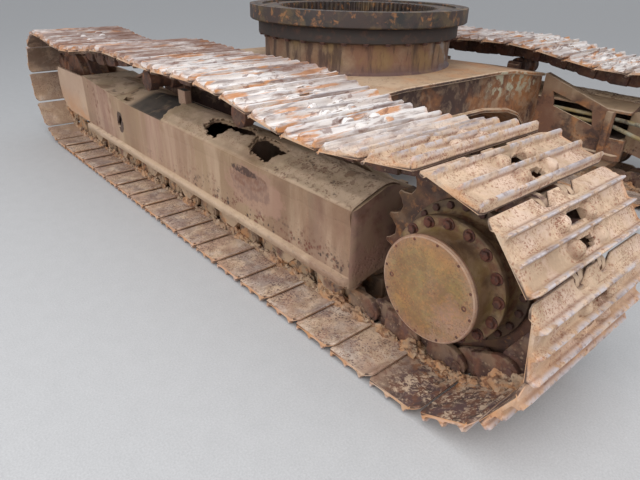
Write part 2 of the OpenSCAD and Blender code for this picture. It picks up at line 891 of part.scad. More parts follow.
on_side("right") track_rollers();  // track_rollers_right
on_side("right") carrier_rollers();  // carrier_rollers_right
on_side("right") carrier_brackets();  // carrier_brackets_right
on_side("right") travel_hoses();  // travel_hoses_right
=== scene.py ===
"""Looks of a crawler undercarriage: worn shoes, links, mud, bolts, hoses and finishes round the CAD frame."""
import sys

import json
import math
from bisect import bisect_right

import bmesh
import bpy
from bpy.props import FloatProperty, FloatVectorProperty, IntProperty, PointerProperty
from mathutils import Matrix, Vector, noise
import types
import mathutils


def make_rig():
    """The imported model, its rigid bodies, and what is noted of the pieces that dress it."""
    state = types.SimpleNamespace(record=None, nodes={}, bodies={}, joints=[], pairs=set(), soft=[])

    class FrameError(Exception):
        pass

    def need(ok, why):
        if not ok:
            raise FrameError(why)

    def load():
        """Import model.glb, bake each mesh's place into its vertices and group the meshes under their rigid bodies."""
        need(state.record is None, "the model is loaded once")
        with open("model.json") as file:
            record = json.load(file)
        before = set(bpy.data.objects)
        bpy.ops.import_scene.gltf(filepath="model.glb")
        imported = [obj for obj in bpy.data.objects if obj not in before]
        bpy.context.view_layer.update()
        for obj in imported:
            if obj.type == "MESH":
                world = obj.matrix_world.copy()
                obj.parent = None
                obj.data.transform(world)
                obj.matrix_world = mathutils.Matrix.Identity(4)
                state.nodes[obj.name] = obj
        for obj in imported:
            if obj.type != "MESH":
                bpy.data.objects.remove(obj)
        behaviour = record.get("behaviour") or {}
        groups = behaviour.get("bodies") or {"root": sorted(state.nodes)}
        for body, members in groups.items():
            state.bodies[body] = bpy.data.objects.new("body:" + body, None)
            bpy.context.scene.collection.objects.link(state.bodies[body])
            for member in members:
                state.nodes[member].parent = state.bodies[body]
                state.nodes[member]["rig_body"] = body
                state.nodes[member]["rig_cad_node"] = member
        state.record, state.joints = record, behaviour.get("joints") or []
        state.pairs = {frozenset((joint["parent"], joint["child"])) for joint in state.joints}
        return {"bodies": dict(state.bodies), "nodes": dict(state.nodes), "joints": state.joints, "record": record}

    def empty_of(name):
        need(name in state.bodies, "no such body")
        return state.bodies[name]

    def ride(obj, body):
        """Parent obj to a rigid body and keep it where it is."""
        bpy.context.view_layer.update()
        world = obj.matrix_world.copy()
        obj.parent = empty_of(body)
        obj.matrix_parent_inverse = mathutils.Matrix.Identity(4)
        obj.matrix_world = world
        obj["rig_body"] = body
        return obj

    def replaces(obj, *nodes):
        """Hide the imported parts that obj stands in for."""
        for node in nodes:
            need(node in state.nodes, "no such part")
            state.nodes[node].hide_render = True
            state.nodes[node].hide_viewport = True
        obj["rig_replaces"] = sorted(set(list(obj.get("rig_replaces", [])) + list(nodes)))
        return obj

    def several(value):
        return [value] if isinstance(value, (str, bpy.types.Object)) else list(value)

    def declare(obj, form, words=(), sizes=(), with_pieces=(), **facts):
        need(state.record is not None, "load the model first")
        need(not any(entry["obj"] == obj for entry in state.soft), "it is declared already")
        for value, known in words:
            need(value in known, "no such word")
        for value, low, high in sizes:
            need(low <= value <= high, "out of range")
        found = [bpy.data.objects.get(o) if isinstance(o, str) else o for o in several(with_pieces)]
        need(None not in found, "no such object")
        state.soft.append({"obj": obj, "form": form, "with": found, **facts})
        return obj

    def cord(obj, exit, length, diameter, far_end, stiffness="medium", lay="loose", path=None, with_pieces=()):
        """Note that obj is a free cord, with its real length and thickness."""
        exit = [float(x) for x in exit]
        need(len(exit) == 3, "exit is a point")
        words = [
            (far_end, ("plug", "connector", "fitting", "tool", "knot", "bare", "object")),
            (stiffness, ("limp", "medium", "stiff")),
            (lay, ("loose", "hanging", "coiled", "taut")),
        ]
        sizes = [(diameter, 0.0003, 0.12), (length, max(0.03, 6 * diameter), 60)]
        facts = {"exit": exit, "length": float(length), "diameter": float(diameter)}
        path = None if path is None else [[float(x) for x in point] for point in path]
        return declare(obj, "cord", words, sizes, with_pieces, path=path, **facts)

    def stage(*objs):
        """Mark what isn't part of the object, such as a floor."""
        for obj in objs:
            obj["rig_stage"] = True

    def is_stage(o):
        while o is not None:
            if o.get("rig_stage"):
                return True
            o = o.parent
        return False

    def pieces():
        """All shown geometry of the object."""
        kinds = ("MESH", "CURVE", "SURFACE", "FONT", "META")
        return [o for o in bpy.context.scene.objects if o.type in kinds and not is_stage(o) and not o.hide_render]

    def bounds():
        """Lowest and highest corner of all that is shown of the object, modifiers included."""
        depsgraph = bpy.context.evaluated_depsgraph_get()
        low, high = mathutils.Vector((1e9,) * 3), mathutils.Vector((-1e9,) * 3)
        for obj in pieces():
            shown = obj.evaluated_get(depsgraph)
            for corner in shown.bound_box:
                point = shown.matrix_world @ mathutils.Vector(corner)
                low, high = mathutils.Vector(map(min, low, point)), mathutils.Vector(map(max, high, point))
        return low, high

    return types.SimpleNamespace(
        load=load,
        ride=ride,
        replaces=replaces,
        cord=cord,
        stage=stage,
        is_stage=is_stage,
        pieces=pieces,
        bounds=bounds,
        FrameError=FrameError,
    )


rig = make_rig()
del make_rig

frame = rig.load()
CAD_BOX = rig.bounds()
NOISE_SEED = 1
noise.seed_set(NOISE_SEED)  # Blender seeds noise_vector from the clock otherwise, and every run would differ

bl_info = {
    "name": "Crawler Undercarriage",
    "version": (1, 0, 0),
    "blender": (4, 5, 0),
    "location": "View3D > Sidebar > Undercarriage",
    "description": "Builds the worn track shoes, links, bolts, mud and finishes of a crawler undercarriage",
    "category": "Object",
}

FIXED = "undercarriage"
SIDES = (("left", 1), ("right", -1))


# ---------------------------------------------------------------- sizes and colours


def length(name, default, description):
    """A size in metres that the sidebar shows."""
    return FloatProperty(name=name, default=default, description=description, unit="LENGTH", precision=4)


def colour(name, red, green, blue, description):
    """A colour as it shows on screen, from parts of 255."""
    default = (red / 255, green / 255, blue / 255)
    return FloatVectorProperty(
        name=name, default=default, description=description, subtype="COLOR_GAMMA", size=3, min=0, max=1
    )


class UndercarriageSizes(bpy.types.PropertyGroup):
    pitch: length("Pitch", 0.190, "Distance between two track pins")
    shoes: IntProperty(name="Shoes", default=46, description="Shoes of each track")
    teeth: IntProperty(name="Teeth", default=21, description="Teeth of a sprocket")
    gauge: length("Gauge", 2.200, "Distance between the middles of both tracks")
    shoe_width: length("Shoe width", 0.600, "Width of a track shoe")
    grouser: length("Grouser", 0.026, "Height of a grouser above its plate")
    plate: length("Plate", 0.010, "Thickness of a shoe plate")
    seat: length("Seat", 0.042, "Height from the pins to the shoe plates")
    rail: length("Rail", 0.058, "Height from the pins to the rail")
    chain: length("Chain", 0.168, "Width of the chain over its links")
    link: length("Link", 0.040, "Thickness of both plates of a link")
    rear_carrier: length("Rear carrier", -0.520, "Place of the rear carrier roller")
    front_carrier: length("Front carrier", 0.395, "Place of the front carrier roller")
    lift: length("Carrier lift", 0.032, "Height by which the carrier rollers lift the chain")
    rear_sag: length("Rear sag", 0.062, "Sag behind the rear carrier roller")
    middle_sag: length("Middle sag", 0.014, "Sag between the carrier rollers")
    front_sag: length("Front sag", 0.056, "Sag before the front carrier roller")
    frame_width: length("Frame width", 0.340, "Width of a track frame")
    frame_ridge: length("Frame ridge", 0.495, "Height of the edge between side plate and roof")
    frame_top: length("Frame top", 0.548, "Height of the frame's roof")
    edge: length("Plate edge", 0.004, "Width of the worn rounding along plate edges")


class UndercarriageColours(bpy.types.PropertyGroup):
    sand: colour("Sand", 204, 178, 152, "Dried mud on the shoes")
    chalk: colour("Chalk", 228, 223, 220, "Pale dried mud on the upper run")
    tan: colour("Tan", 172, 146, 118, "Dust on plates that face up")
    ochre: colour("Ochre", 150, 124, 100, "Dust on the frame's sides")
    pink: colour("Pink", 156, 120, 104, "Reddish dust")
    moss: colour("Moss", 150, 130, 94, "Greenish dust")
    olive: colour("Olive", 128, 104, 62, "Old paint of the drive under dust")
    orange: colour("Orange", 200, 134, 76, "Fresh rust")
    brown: colour("Brown", 112, 74, 56, "Old rust")
    # dark also serves as painted shadow and shade: in the slots between shoes, inside the frames' boxes and round the
    # drive
    dark: colour("Dark", 64, 46, 41, "Dark scale")
    plum: colour("Plum", 92, 68, 66, "Purplish scale")
    steel: colour("Steel", 184, 178, 182, "Steel worn bright")
    slate: colour("Slate", 62, 57, 54, "Bare dark plate")
    flake: colour("Flake", 178, 172, 148, "Flaking pale paint")
    blue: colour("Blue", 146, 154, 162, "Flaking blue-grey paint")
    rust: colour("Rust", 104, 60, 46, "Rust of the bolts")
    # rubber also serves as painted shade on the pedestal's side
    rubber: colour("Rubber", 44, 42, 40, "Hoses")
    straw: colour("Straw", 152, 130, 84, "Dusty yellowish hose")
    speck: colour("Speck", 134, 84, 62, "Rust specks in dried mud")
    concrete: colour("Concrete", 184, 184, 185, "Floor")


def sizes():
    return bpy.context.scene.undercarriage_sizes


def linear(value):
    """Turns a screen colour into the shader's linear one."""
    return tuple(c / 12.92 if c <= 0.04045 else ((c + 0.055) / 1.055) ** 2.4 for c in value) + (1.0,)


def paint(name):
    return linear(getattr(bpy.context.scene.undercarriage_colours, name))


# ---------------------------------------------------------------- finishes


# Scale and detail of the noises that every finish has
MOTTLE_NOISE = (14, 5)
SPECKLE_NOISE = (170, 3)
GRAIN_NOISE = (260, 4)
CLUSTER_NOISE = (13, 4)


class Finish:
    """A layered finish: each layer lays a colour, a roughness and a height where its mask is high.

    Its axes are a point's x, y and z, the normal's nx, ny and nz, aside (ny on either side), out (distance from the
    machine's middle plane), off (distance from the track's middle) and radial (distance from the drive's axle).
    """

    def __init__(self, name, base, roughness=0.85, grain=0.0004, mottle=(0.86, 1.1)):
        self.material = bpy.data.materials.new(name)
        self.material.use_nodes = True
        self.tree = self.material.node_tree
        self.shader = self.tree.nodes["Principled BSDF"]
        self.place = self.tree.nodes.new("ShaderNodeTexCoord").outputs["Object"]
        split = self.node("ShaderNodeSeparateXYZ", Vector=self.place)
        self.axis = {"x": split.outputs[0], "y": split.outputs[1], "z": split.outputs[2]}
        normal = self.tree.nodes.new("ShaderNodeNewGeometry").outputs["Normal"]
        facing = self.node("ShaderNodeSeparateXYZ", Vector=normal)
        self.axis.update({"nx": facing.outputs[0], "ny": facing.outputs[1], "nz": facing.outputs[2]})
        self.axis["out"] = self.sum("ABSOLUTE", self.axis["y"])
        self.axis["aside"] = self.sum("ABSOLUTE", self.axis["ny"])
        layout = chain_layout()
        from_drive = self.vector("SUBTRACT", self.place, (-layout["half"], 0, layout["axle"]))
        level = self.vector("MULTIPLY", from_drive.outputs[0], (1, 0, 1))
        self.axis["radial"] = self.vector("LENGTH", level.outputs[0]).outputs[1]
        self.axis["off"] = self.sum("ABSOLUTE", self.sum("SUBTRACT", self.axis["out"], sizes().gauge / 2))
        tone = self.ramp(self.noise(*MOTTLE_NOISE), 0.3, 0.7, *mottle)
        tone = self.sum("MULTIPLY", tone, self.ramp(self.noise(*SPECKLE_NOISE), 0.3, 0.7, 0.90, 1.08))
        shade = self.node("ShaderNodeCombineColor", Red=tone, Green=tone, Blue=tone)
        self.colour = self.mix(paint(base), shade.outputs[0], 1.0, "MULTIPLY")
        self.rough = roughness
        self.height = self.sum("MULTIPLY", self.noise(*GRAIN_NOISE), grain)

    def node(self, kind, **values):
        made = self.tree.nodes.new(kind)
        for key, value in values.items():
            self.give(made.inputs[key], value)
        return made

    def give(self, socket, value):
        if isinstance(value, bpy.types.NodeSocket):
            self.tree.links.new(value, socket)
        else:
            socket.default_value = value

    def maths(self, kind, operation, values):
        made = self.tree.nodes.new(kind)
        made.operation = operation
        for socket, value in zip(made.inputs, values):
            self.give(socket, value)
        return made

    def sum(self, operation, *values):
        return self.maths("ShaderNodeMath", operation, values).outputs[0]

    def vector(self, operation, *values):
        return self.maths("ShaderNodeVectorMath", operation, values)

    def ramp(self, value, low, high, to_low=0.0, to_high=1.0):
        made = self.tree.nodes.new("ShaderNodeMapRange")
        for socket, item in zip(made.inputs, (value, low, high, to_low, to_high)):
            self.give(socket, item)
        return made.outputs[0]

    def noise(self, scale, detail=5, stretch=None, twist=0.0):
        vector = self.place
        if stretch:
            vector = self.node("ShaderNodeMapping", Vector=self.place, Scale=stretch).outputs[0]
        made = self.node(
            "ShaderNodeTexNoise", Vector=vector, Scale=scale, Detail=detail, Roughness=0.62, Distortion=twist
        )
        return made.outputs[0]

    def spots(self, scale, share):
        """Uneven specks of many sizes, each in a cell of its own."""
        bend = self.node("ShaderNodeTexNoise", Vector=self.place, Scale=scale * 0.9, Detail=3)
        reach = 0.7 / scale
        bent = self.vector("MULTIPLY_ADD", bend.outputs["Color"], (reach, reach, reach), self.place)
        cells = self.node("ShaderNodeTexVoronoi", Vector=bent.outputs[0], Scale=scale)
        chance = self.node("ShaderNodeSeparateColor", Color=cells.outputs["Color"])
        radius = self.sum("MULTIPLY", chance.outputs[0], share)
        return self.ramp(cells.outputs["Distance"], radius, self.sum("MULTIPLY", radius, 0.55))

    def blob(self, centre, radii):
        """High inside an uneven oval patch."""
        off = self.vector("SUBTRACT", self.place, centre)
        far = self.vector("LENGTH", self.vector("DIVIDE", off.outputs[0], radii).outputs[0])
        ragged_far = self.sum("MULTIPLY_ADD", self.noise(26, 5), 1.1, self.sum("SUBTRACT", far.outputs[1], 0.55))
        return self.ramp(ragged_far, 1.05, 0.9)

    def measure(self, key):
        """An axis, the coarse groups of cluster, or one of the mesh's attributes."""
        if key == "cluster":
            return self.noise(*CLUSTER_NOISE)
        if key in self.axis:
            return self.axis[key]
        made = self.tree.nodes.new("ShaderNodeAttribute")
        made.attribute_name = key
        return made.outputs["Fac"]

    def mix(self, below, above, amount, blend="MIX"):
        made = self.tree.nodes.new("ShaderNodeMix")
        made.data_type = "RGBA"
        made.blend_type = blend
        self.give(made.inputs[0], amount)
        self.give(made.inputs[6], below)
        self.give(made.inputs[7], above)
        return made.outputs[2]

    def layer(self, tone, amount=1.0, grain=None, where=(), raised=0.0, roughness=None, spots=None, twist=0.3):
        """Lays a tone where its grain, its spots and every row of where agree.

        grain is (scale, low, high) or (scale, low, high, stretch), spots is (scale, share), and a row of where is
        (axis or attribute, low, high), ("cluster", low, high) for coarse groups, or ("blob", centre, radii).
        """
        parts = []
        if grain:
            stretch = grain[3] if len(grain) > 3 else None
            parts.append(self.ramp(self.noise(grain[0], 6, stretch, twist), grain[1], grain[2]))
        if spots:
            parts.append(self.spots(*spots))
        for key, low, high in where:
            parts.append(self.blob(low, high) if key == "blob" else self.ramp(self.measure(key), low, high))
        mask = parts[0] if parts else amount
        for part in parts[1:]:
            mask = self.sum("MULTIPLY", mask, part)
        if parts and amount != 1.0:
            mask = self.sum("MULTIPLY", mask, amount)
        self.colour = self.mix(self.colour, paint(tone), mask)
        if raised:
            self.height = self.sum("MULTIPLY_ADD", mask, raised, self.height)
        if roughness is not None:
            made = self.tree.nodes.new("ShaderNodeMix")
            self.give(made.inputs[0], mask)
            self.give(made.inputs[2], self.rough)
            made.inputs[3].default_value = roughness
            self.rough = made.outputs[0]
        return self

    def done(self, metallic=0.0):
        bump = self.node("ShaderNodeBump", Height=self.height)
        bump.inputs["Strength"].default_value = 1.0
        bump.inputs["Distance"].default_value = 1.0
        self.give(self.shader.inputs["Base Color"], self.colour)
        self.give(self.shader.inputs["Roughness"], self.rough)
        self.shader.inputs["Metallic"].default_value = metallic
        self.tree.links.new(bump.outputs[0], self.shader.inputs["Normal"])
        return self.material


def shoe_finish():
    inner = [("inner", 0.4, 0.9), ("aside", 0.85, 0.6)]
    outer = [("inner", 0.9, 0.4)]
    upper = [("x", -1.5, -1.2), ("z", 0.6, 0.68)]  # the run over the rollers, without the wrap
    drive = [("x", -1.56, -1.66), ("z", 0.34, 0.26)]
    foot = [("crest", 0.02, 0.16), ("crest", 0.6, 0.3)]
    hollow = [("off", 0.115, 0.075), ("z", 0.36, 0.26), ("crest", 0.4, 0.1)]
    run = [("z", 0.6, 0.68)]
    f = Finish("dried_mud_on_shoes", "sand", 0.88)
    f.layer("ochre", 0.6, (5, 0.43, 0.60))
    f.layer("orange", 0.6, (4, 0.32, 0.54), [("z", 0.50, 0.20)])
    f.layer("pink", 0.5, (6, 0.42, 0.58), outer + [("z", 0.46, 0.30)])
    f.layer("orange", 0.28, (9, 0.46, 0.62))
    f.layer("chalk", 0.25, (9, 0.48, 0.6), outer)
    f.layer("speck", 0.75, (130, 0.56, 0.61), outer + [("cluster", 0.42, 0.56), ("z", 0.26, 0.40)])
    f.layer("speck", 0.8, (11, 0.44, 0.60), outer + [("z", 0.30, 0.42)], -0.0004, spots=(230, 0.8))
    f.layer("speck", 0.7, (7, 0.44, 0.56), outer, -0.0004, spots=(95, 0.5))
    f.layer("brown", 0.5, (13, 0.54, 0.64), outer, spots=(60, 0.9))
    # Brown on the lower flanks of each grouser: mud stain, and painted shade where grouser meets plate
    f.layer("brown", 0.55, (9, 0.40, 0.58), outer + foot)
    f.layer("brown", 0.4, (16, 0.40, 0.58), [("boss", 0.05, 0.3), ("boss", 0.8, 0.5)])
    f.layer("brown", 0.75, (26, 0.46, 0.54), outer + hollow, 0.001)
    f.layer("steel", 0.85, (24, 0.42, 0.52), [("crest", 0.3, 0.8)], 0, 0.5)
    f.layer("plum", 0.5, (7, 0.52, 0.60, (1, 0.7, 1)), [("crest", 0.5, 0.9)], 0, 0.5)
    f.layer("sand", 0.6, (13, 0.52, 0.58), [("crest", 0.3, 0.8)])
    f.layer("brown", 0.5, (40, 0.53, 0.62), [("crest", 0.5, 0.9)])
    f.layer("chalk", 0.97, (6, 0.22, 0.38, (2.0, 0.7, 2.0)), outer + upper + [("nz", -0.1, 0.5)])
    f.layer("steel", 0.45, (9, 0.46, 0.58, (3.0, 0.6, 3.0)), upper + [("crest", 0.3, 0.8)])
    f.layer("brown", 0.65, (9, 0.54, 0.61, (3.2, 0.4, 3.2)), outer + upper)
    f.layer("plum", 0.55, (14, 0.55, 0.61, (3.4, 0.3, 3.4)), outer + upper)
    f.layer("orange", 0.8, (8, 0.55, 0.62, (3.2, 0.5, 3.2)), outer + upper)
    f.layer("rust", 0.6, (20, 0.57, 0.62, (1.6, 0.6, 1.6)), outer + upper)
    f.layer("brown", 0.7, (7, 0.42, 0.56, (3.0, 0.5, 3.0)), outer + [("x", -0.35, 0.1)] + run)
    f.layer("pink", 0.35, (5, 0.40, 0.58, (2.0, 0.5, 2.0)), outer + [("x", -0.3, 0.2)] + run)
    f.layer("brown", 0.6, (6, 0.34, 0.54, (2.0, 0.6, 2.0)), outer + [("out", 1.10, 0.92), ("x", -1.1, -0.7)] + run)
    f.layer("orange", 0.4, (12, 0.42, 0.58), [("tip", 0.3, 0.9)])
    # Painted shadow: dark on the faces beside the slot between one shoe and the next
    f.layer("dark", 0.9, None, [("gap", 0.3, 0.7)])
    f.layer("sand", 0.9, (3, 0.1, 0.4), inner)
    f.layer("chalk", 0.35, (7, 0.42, 0.6), inner)
    f.layer("pink", 0.55, (9, 0.42, 0.58), inner)
    f.layer("ochre", 0.5, (24, 0.48, 0.6), inner)
    f.layer("plum", 0.45, (7, 0.46, 0.56), inner + [("off", 0.13, 0.17), ("off", 0.29, 0.25)])
    f.layer("plum", 0.8, (8, 0.38, 0.56), inner, -0.0004, spots=(120, 0.8))
    f.layer("speck", 0.7, (12, 0.42, 0.56), inner, -0.0004, spots=(170, 0.7))
    f.layer("brown", 0.5, (5, 0.40, 0.56), inner + [("x", -1.46, -1.60), ("z", 0.34, 0.26)])
    f.layer("dark", 0.9, (9, 0.34, 0.46), inner + drive)
    f.layer("plum", 0.85, (16, 0.45, 0.54), inner + drive)
    f.layer("brown", 0.8, (24, 0.48, 0.56), inner + drive)
    f.layer("sand", 0.85, (38, 0.52, 0.57), inner + drive + [("cluster", 0.46, 0.58)], 0.0006, twist=0.6)
    f.layer("sand", 0.7, (110, 0.53, 0.59), inner + drive + [("cluster", 0.42, 0.54)], 0.0004)
    f.layer("orange", 0.6, (28, 0.46, 0.56), inner + drive + [("off", 0.175, 0.115)], 0.001, twist=0.6)
    f.layer("sand", 0.75, (44, 0.50, 0.57), inner + drive + [("off", 0.17, 0.105)], 0.001, twist=0.6)
    f.layer("ochre", 0.6, (6, 0.34, 0.5), inner + [("x", 1.5, 1.8)])
    f.layer("dark", 0.6, (11, 0.34, 0.5), inner + [("z", 0.3, 0.6)])
    return f.done()


def link_finish():
    low = [("z", 0.30, 0.22), ("x", -1.38, -1.15)]
    f = Finish("rusted_links", "brown", 0.8)
    f.layer("dark", 0.85, (12, 0.40, 0.56))
    f.layer("plum", 0.6, (30, 0.5, 0.6))
    f.layer("tan", 0.85, (8, 0.34, 0.48), low)
    f.layer("orange", 0.55, (14, 0.5, 0.6), low)
    f.layer("dark", 0.75, (22, 0.53, 0.6), low)
    f.layer("ochre", 0.9, (18, 0.48, 0.6), [("nz", -0.3, 0.5)], 0.0012)
    f.layer("tan", 0.5, (12, 0.42, 0.56), spots=(80, 0.5))
    f.layer("sand", 0.75, (14, 0.34, 0.52), [("radial", 0.335, 0.355), ("x", -1.6, -1.7), ("aside", 0.8, 0.5)])
    return f.done()


def caked_finish():
    f = Finish("caked_mud", "tan", 0.95, 0.0008)
    f.layer("pink", 0.5, (8, 0.42, 0.6))
    f.layer("sand", 0.6, (24, 0.45, 0.6), (), 0.001)
    f.layer("orange", 0.4, (14, 0.48, 0.6))
    f.layer("ochre", 0.6, (20, 0.42, 0.56), [("x", -1.2, -1.4)])
    f.layer("orange", 0.3, (26, 0.46, 0.56), [("x", -1.2, -1.4)])
    f.layer("brown", 0.7, (46, 0.53, 0.6), (), -0.0015)
    f.layer("dark", 0.75, (34, 0.58, 0.64), (), -0.003)
    return f.done()


def dust_bands(f):
    """The soft upright bands of dust that the frame's sides and its crust share."""
    f.layer("pink", 0.6, (1.3, 0.38, 0.62, (1, 1, 0.25)))
    f.layer("pink", 0.7, (3, 0.30, 0.52), [("x", -0.25, 0.25)])
    f.layer("moss", 0.5, (2.6, 0.44, 0.64, (1, 1, 0.2)))
    f.layer("plum", 0.18, (3, 0.42, 0.6, (1, 1, 0.5)), [("x", 0.0, 0.6)])
    f.layer("brown", 0.35, (3, 0.42, 0.66, (1, 1, 0.3)))
    f.layer("sand", 0.3, (6, 0.48, 0.66, (1.6, 1.6, 0.22)))
    f.layer("brown", 0.4, (5, 0.46, 0.62, (1.2, 1.2, 0.6)), [("x", -0.5, -1.0)])
    f.layer("slate", 0.16, (7, 0.44, 0.6, (1.5, 1.5, 0.3)), [("x", -0.8, -1.1)])


def crust_finish():
    roof = [("nz", 0.5, 0.85)]
    f = Finish("mud_crust", "ochre", 0.93, 0.0005, (0.9, 1.06))
    dust_bands(f)
    f.layer("sand", 0.75, (3, 0.30, 0.52), roof)
    f.layer("sand", 0.9, (4, 0.22, 0.42), roof + [("x", -0.75, -1.0)])
    f.layer("moss", 0.5, (4, 0.46, 0.62), roof)
    f.layer("tan", 0.5, (11, 0.5, 0.62), roof, 0.0008)
    f.layer("speck", 0.6, (6, 0.44, 0.56), roof, -0.0006, spots=(110, 0.6))
    f.layer("rust", 0.6, (7, 0.50, 0.57), roof + [("x", -0.75, -0.9)], -0.001, spots=(80, 0.7))
    f.layer("dark", 0.8, (9, 0.53, 0.58), roof + [("x", -0.75, -0.9)], -0.002, spots=(58, 0.75))
    f.layer("brown", 0.5, (26, 0.54, 0.6), roof + [("x", -0.8, -1.0)], -0.002)
    f.layer("slate", 0.5, (30, 0.5, 0.6), [("rim", 0.6, 0.98)])
    worn_patch(f)
    return f.done()


def worn_patch(f):
    """The patch on the left side near the shoulder where the dust has come off the plate."""
    f.layer("pink", 0.5, None, [("blob", (-0.74, 1.27, 0.385), (0.21, 0.03, 0.10))])
    f.layer("plum", 0.45, (60, 0.34, 0.56, (1, 1, 0.5)), [("blob", (-0.72, 1.27, 0.400), (0.15, 0.03, 0.066))])
    f.layer("brown", 0.6, (24, 0.40, 0.54), [("blob", (-0.70, 1.27, 0.425), (0.14, 0.03, 0.045))])
    f.layer("dark", 0.85, (60, 0.36, 0.50), [("blob", (-0.67, 1.27, 0.450), (0.10, 0.03, 0.020))], -0.0008)


def frame_finish():
    f = Finish("dusty_frame_plate", "ochre", 0.86, 0.0004, (0.9, 1.06))
    dust_bands(f)
    f.layer("speck", 0.5, (4, 0.48, 0.6), spots=(70, 0.35))
    f.layer("rust", 0.9, (9, 0.46, 0.54), [("z", 0.38, 0.29), ("x", 0.1, -0.5)], -0.002, spots=(64, 0.8))
    f.layer("dark", 0.95, (12, 0.50, 0.56), [("z", 0.35, 0.27), ("x", 0.6, -0.4)], -0.002, spots=(52, 0.75))
    worn_patch(f)
    end = [("nx", -0.5, -0.9), ("x", -1.2, -1.3)]
    top = [("nz", 0.35, 0.8)]
    bare = [("nz", 0.5, 0.8), ("z", 0.48, 0.5)]
    ledge = [("out", 1.266, 1.272)]
    front_face = [("x", 1.238, 1.246)]
    f.layer("plum", 0.7, (5, 0.30, 0.46), end)
    f.layer("brown", 0.8, (9, 0.42, 0.56), end)
    f.layer("pink", 0.8, (7, 0.36, 0.54), end)
    f.layer("ochre", 0.55, (14, 0.44, 0.58), end)
    f.layer("ochre", 0.75, (6, 0.36, 0.56), end + [("z", 0.27, 0.21)])
    f.layer("tan", 0.85, (9, 0.3, 0.5), top)
    f.layer("sand", 0.9, (4, 0.26, 0.50), top + [("x", 0.4, 0.6)])
    f.layer("moss", 0.4, (5, 0.46, 0.6), top + [("x", 0.4, 0.6)])
    f.layer("brown", 0.5, (9, 0.52, 0.6), top + [("x", 0.55, 0.7)], -0.001)
    f.layer("dark", 0.9, (6, 0.48, 0.54), top + [("x", 0.55, 0.7)], -0.002, spots=(22, 0.6))
    f.layer("brown", 0.7, (7, 0.40, 0.52), [("x", 0.7, 0.9), ("nz", 0.5, 0.2)], -0.001, spots=(26, 0.7))
    f.layer("dark", 0.9, None, [("blob", (0.67, 1.27, 0.365), (0.045, 0.03, 0.065))], -0.001)
    # The lip bar is two-tone: paler on its upper band as a painted highlight, darker on its lower band as painted
    # shade
    f.layer("sand", 0.65, (12, 0.2, 0.44), [("z", 0.246, 0.236)] + ledge)
    f.layer("ochre", 0.8, (5, 0.3, 0.5), [("z", 0.228, 0.216)] + ledge)
    f.layer("brown", 0.5, (7, 0.3, 0.5), [("z", 0.246, 0.236)] + ledge + [("x", -0.8, -1.1)])
    f.layer("slate", 0.88, (8, 0.28, 0.42), [bare[0], ("x", 0.06, 0.12), ("x", 0.52, 0.46), bare[1]])
    f.layer("rubber", 0.6, (5, 0.36, 0.5), [bare[0], ("x", 0.08, 0.14), ("x", 0.50, 0.44), bare[1]])
    f.layer("sand", 0.6, (16, 0.35, 0.55), [("edge", 0.3, 0.8)])
    f.layer("sand", 0.75, (4, 0.1, 0.4), front_face)
    f.layer("pink", 0.35, (3, 0.3, 0.6), front_face)
    f.layer("orange", 0.5, (6, 0.36, 0.56), front_face + [("z", 0.42, 0.26)])
    # Pale sand on the upward faces inboard of the side plates: dust, and a painted highlight
    f.layer("sand", 0.95, (9, 0.28, 0.5), [("out", 0.95, 0.94), ("nz", 0.4, 0.7)])
    inboard = [("out", 0.944, 0.936), ("nz", 0.6, 0.3), ("z", 0.56, 0.50)]
    f.layer("brown", 0.8, (4, 0.36, 0.52), inboard)
    f.layer("dark", 0.8, (6, 0.48, 0.58), inboard)
    f.layer("orange", 0.4, (9, 0.5, 0.62), inboard)
    # Painted shade: dark inside each frame's box, between its walls and under its roof, so that the holes in the roof
    # look black
    hollow = [("z", 0.47, 0.46), ("z", 0.30, 0.31), ("off", 0.162, 0.156), ("x", -1.30, -1.29), ("x", 1.21, 1.20)]
    f.layer("dark", 0.95, None, hollow)
    return f.done()


def cover_finish():
    middle = [("radial", 0.176, 0.120)]
    f = Finish("drive_cover_paint", "pink", 0.7, 0.0003, (0.84, 1.0))
    f.layer("brown", 0.6, (9, 0.40, 0.56))
    f.layer("olive", 0.97, (4, 0.20, 0.42), middle)
    f.layer("moss", 0.4, (7, 0.46, 0.6), middle)
    f.layer("orange", 0.35, (6, 0.44, 0.62), middle)
    f.layer("brown", 0.45, (11, 0.44, 0.58), middle)
    f.layer("pink", 0.7, (16, 0.34, 0.6), [("blob", (-1.80, 1.32, 0.32), (0.10, 0.05, 0.10))])
    f.layer("orange", 0.22, (110, 0.50, 0.60))
    f.layer("olive", 0.4, (140, 0.50, 0.60), middle)
    f.layer("brown", 0.6, (10, 0.34, 0.54), (), -0.0003, spots=(200, 0.75))
    f.layer("rust", 0.55, (20, 0.44, 0.56), (), -0.0003, spots=(110, 0.5))
    f.layer("pink", 0.6, (20, 0.3, 0.6), [("edge", 0.3, 0.8)])
    f.layer("sand", 0.3, (30, 0.4, 0.6), [("edge", 0.3, 0.8)])
    return f.done()


def hub_finish():
    circle = [("radial", 0.160, 0.168), ("radial", 0.192, 0.186)]
    f = Finish("oily_hub", "olive", 0.75, 0.0004, (0.92, 1.26))
    f.layer("brown", 0.55, (8, 0.42, 0.56))
    f.layer("tan", 0.35, (10, 0.46, 0.6))
    f.layer("dark", 0.5, (12, 0.52, 0.62))
    # Painted shade: the hub darker from just outside its bolt circle out towards the sprocket
    f.layer("dark", 0.7, None, [("radial", 0.186, 0.204)])
    f.layer("rust", 0.75, (18, 0.38, 0.54), circle, 0.0006)
    f.layer("moss", 0.4, (30, 0.46, 0.56), circle)
    f.layer("dark", 0.5, (26, 0.50, 0.60), [("radial", 0.160, 0.168)])
    f.layer("ochre", 0.4, (30, 0.5, 0.62), [("nz", -0.1, 0.7)])
    return f.done()


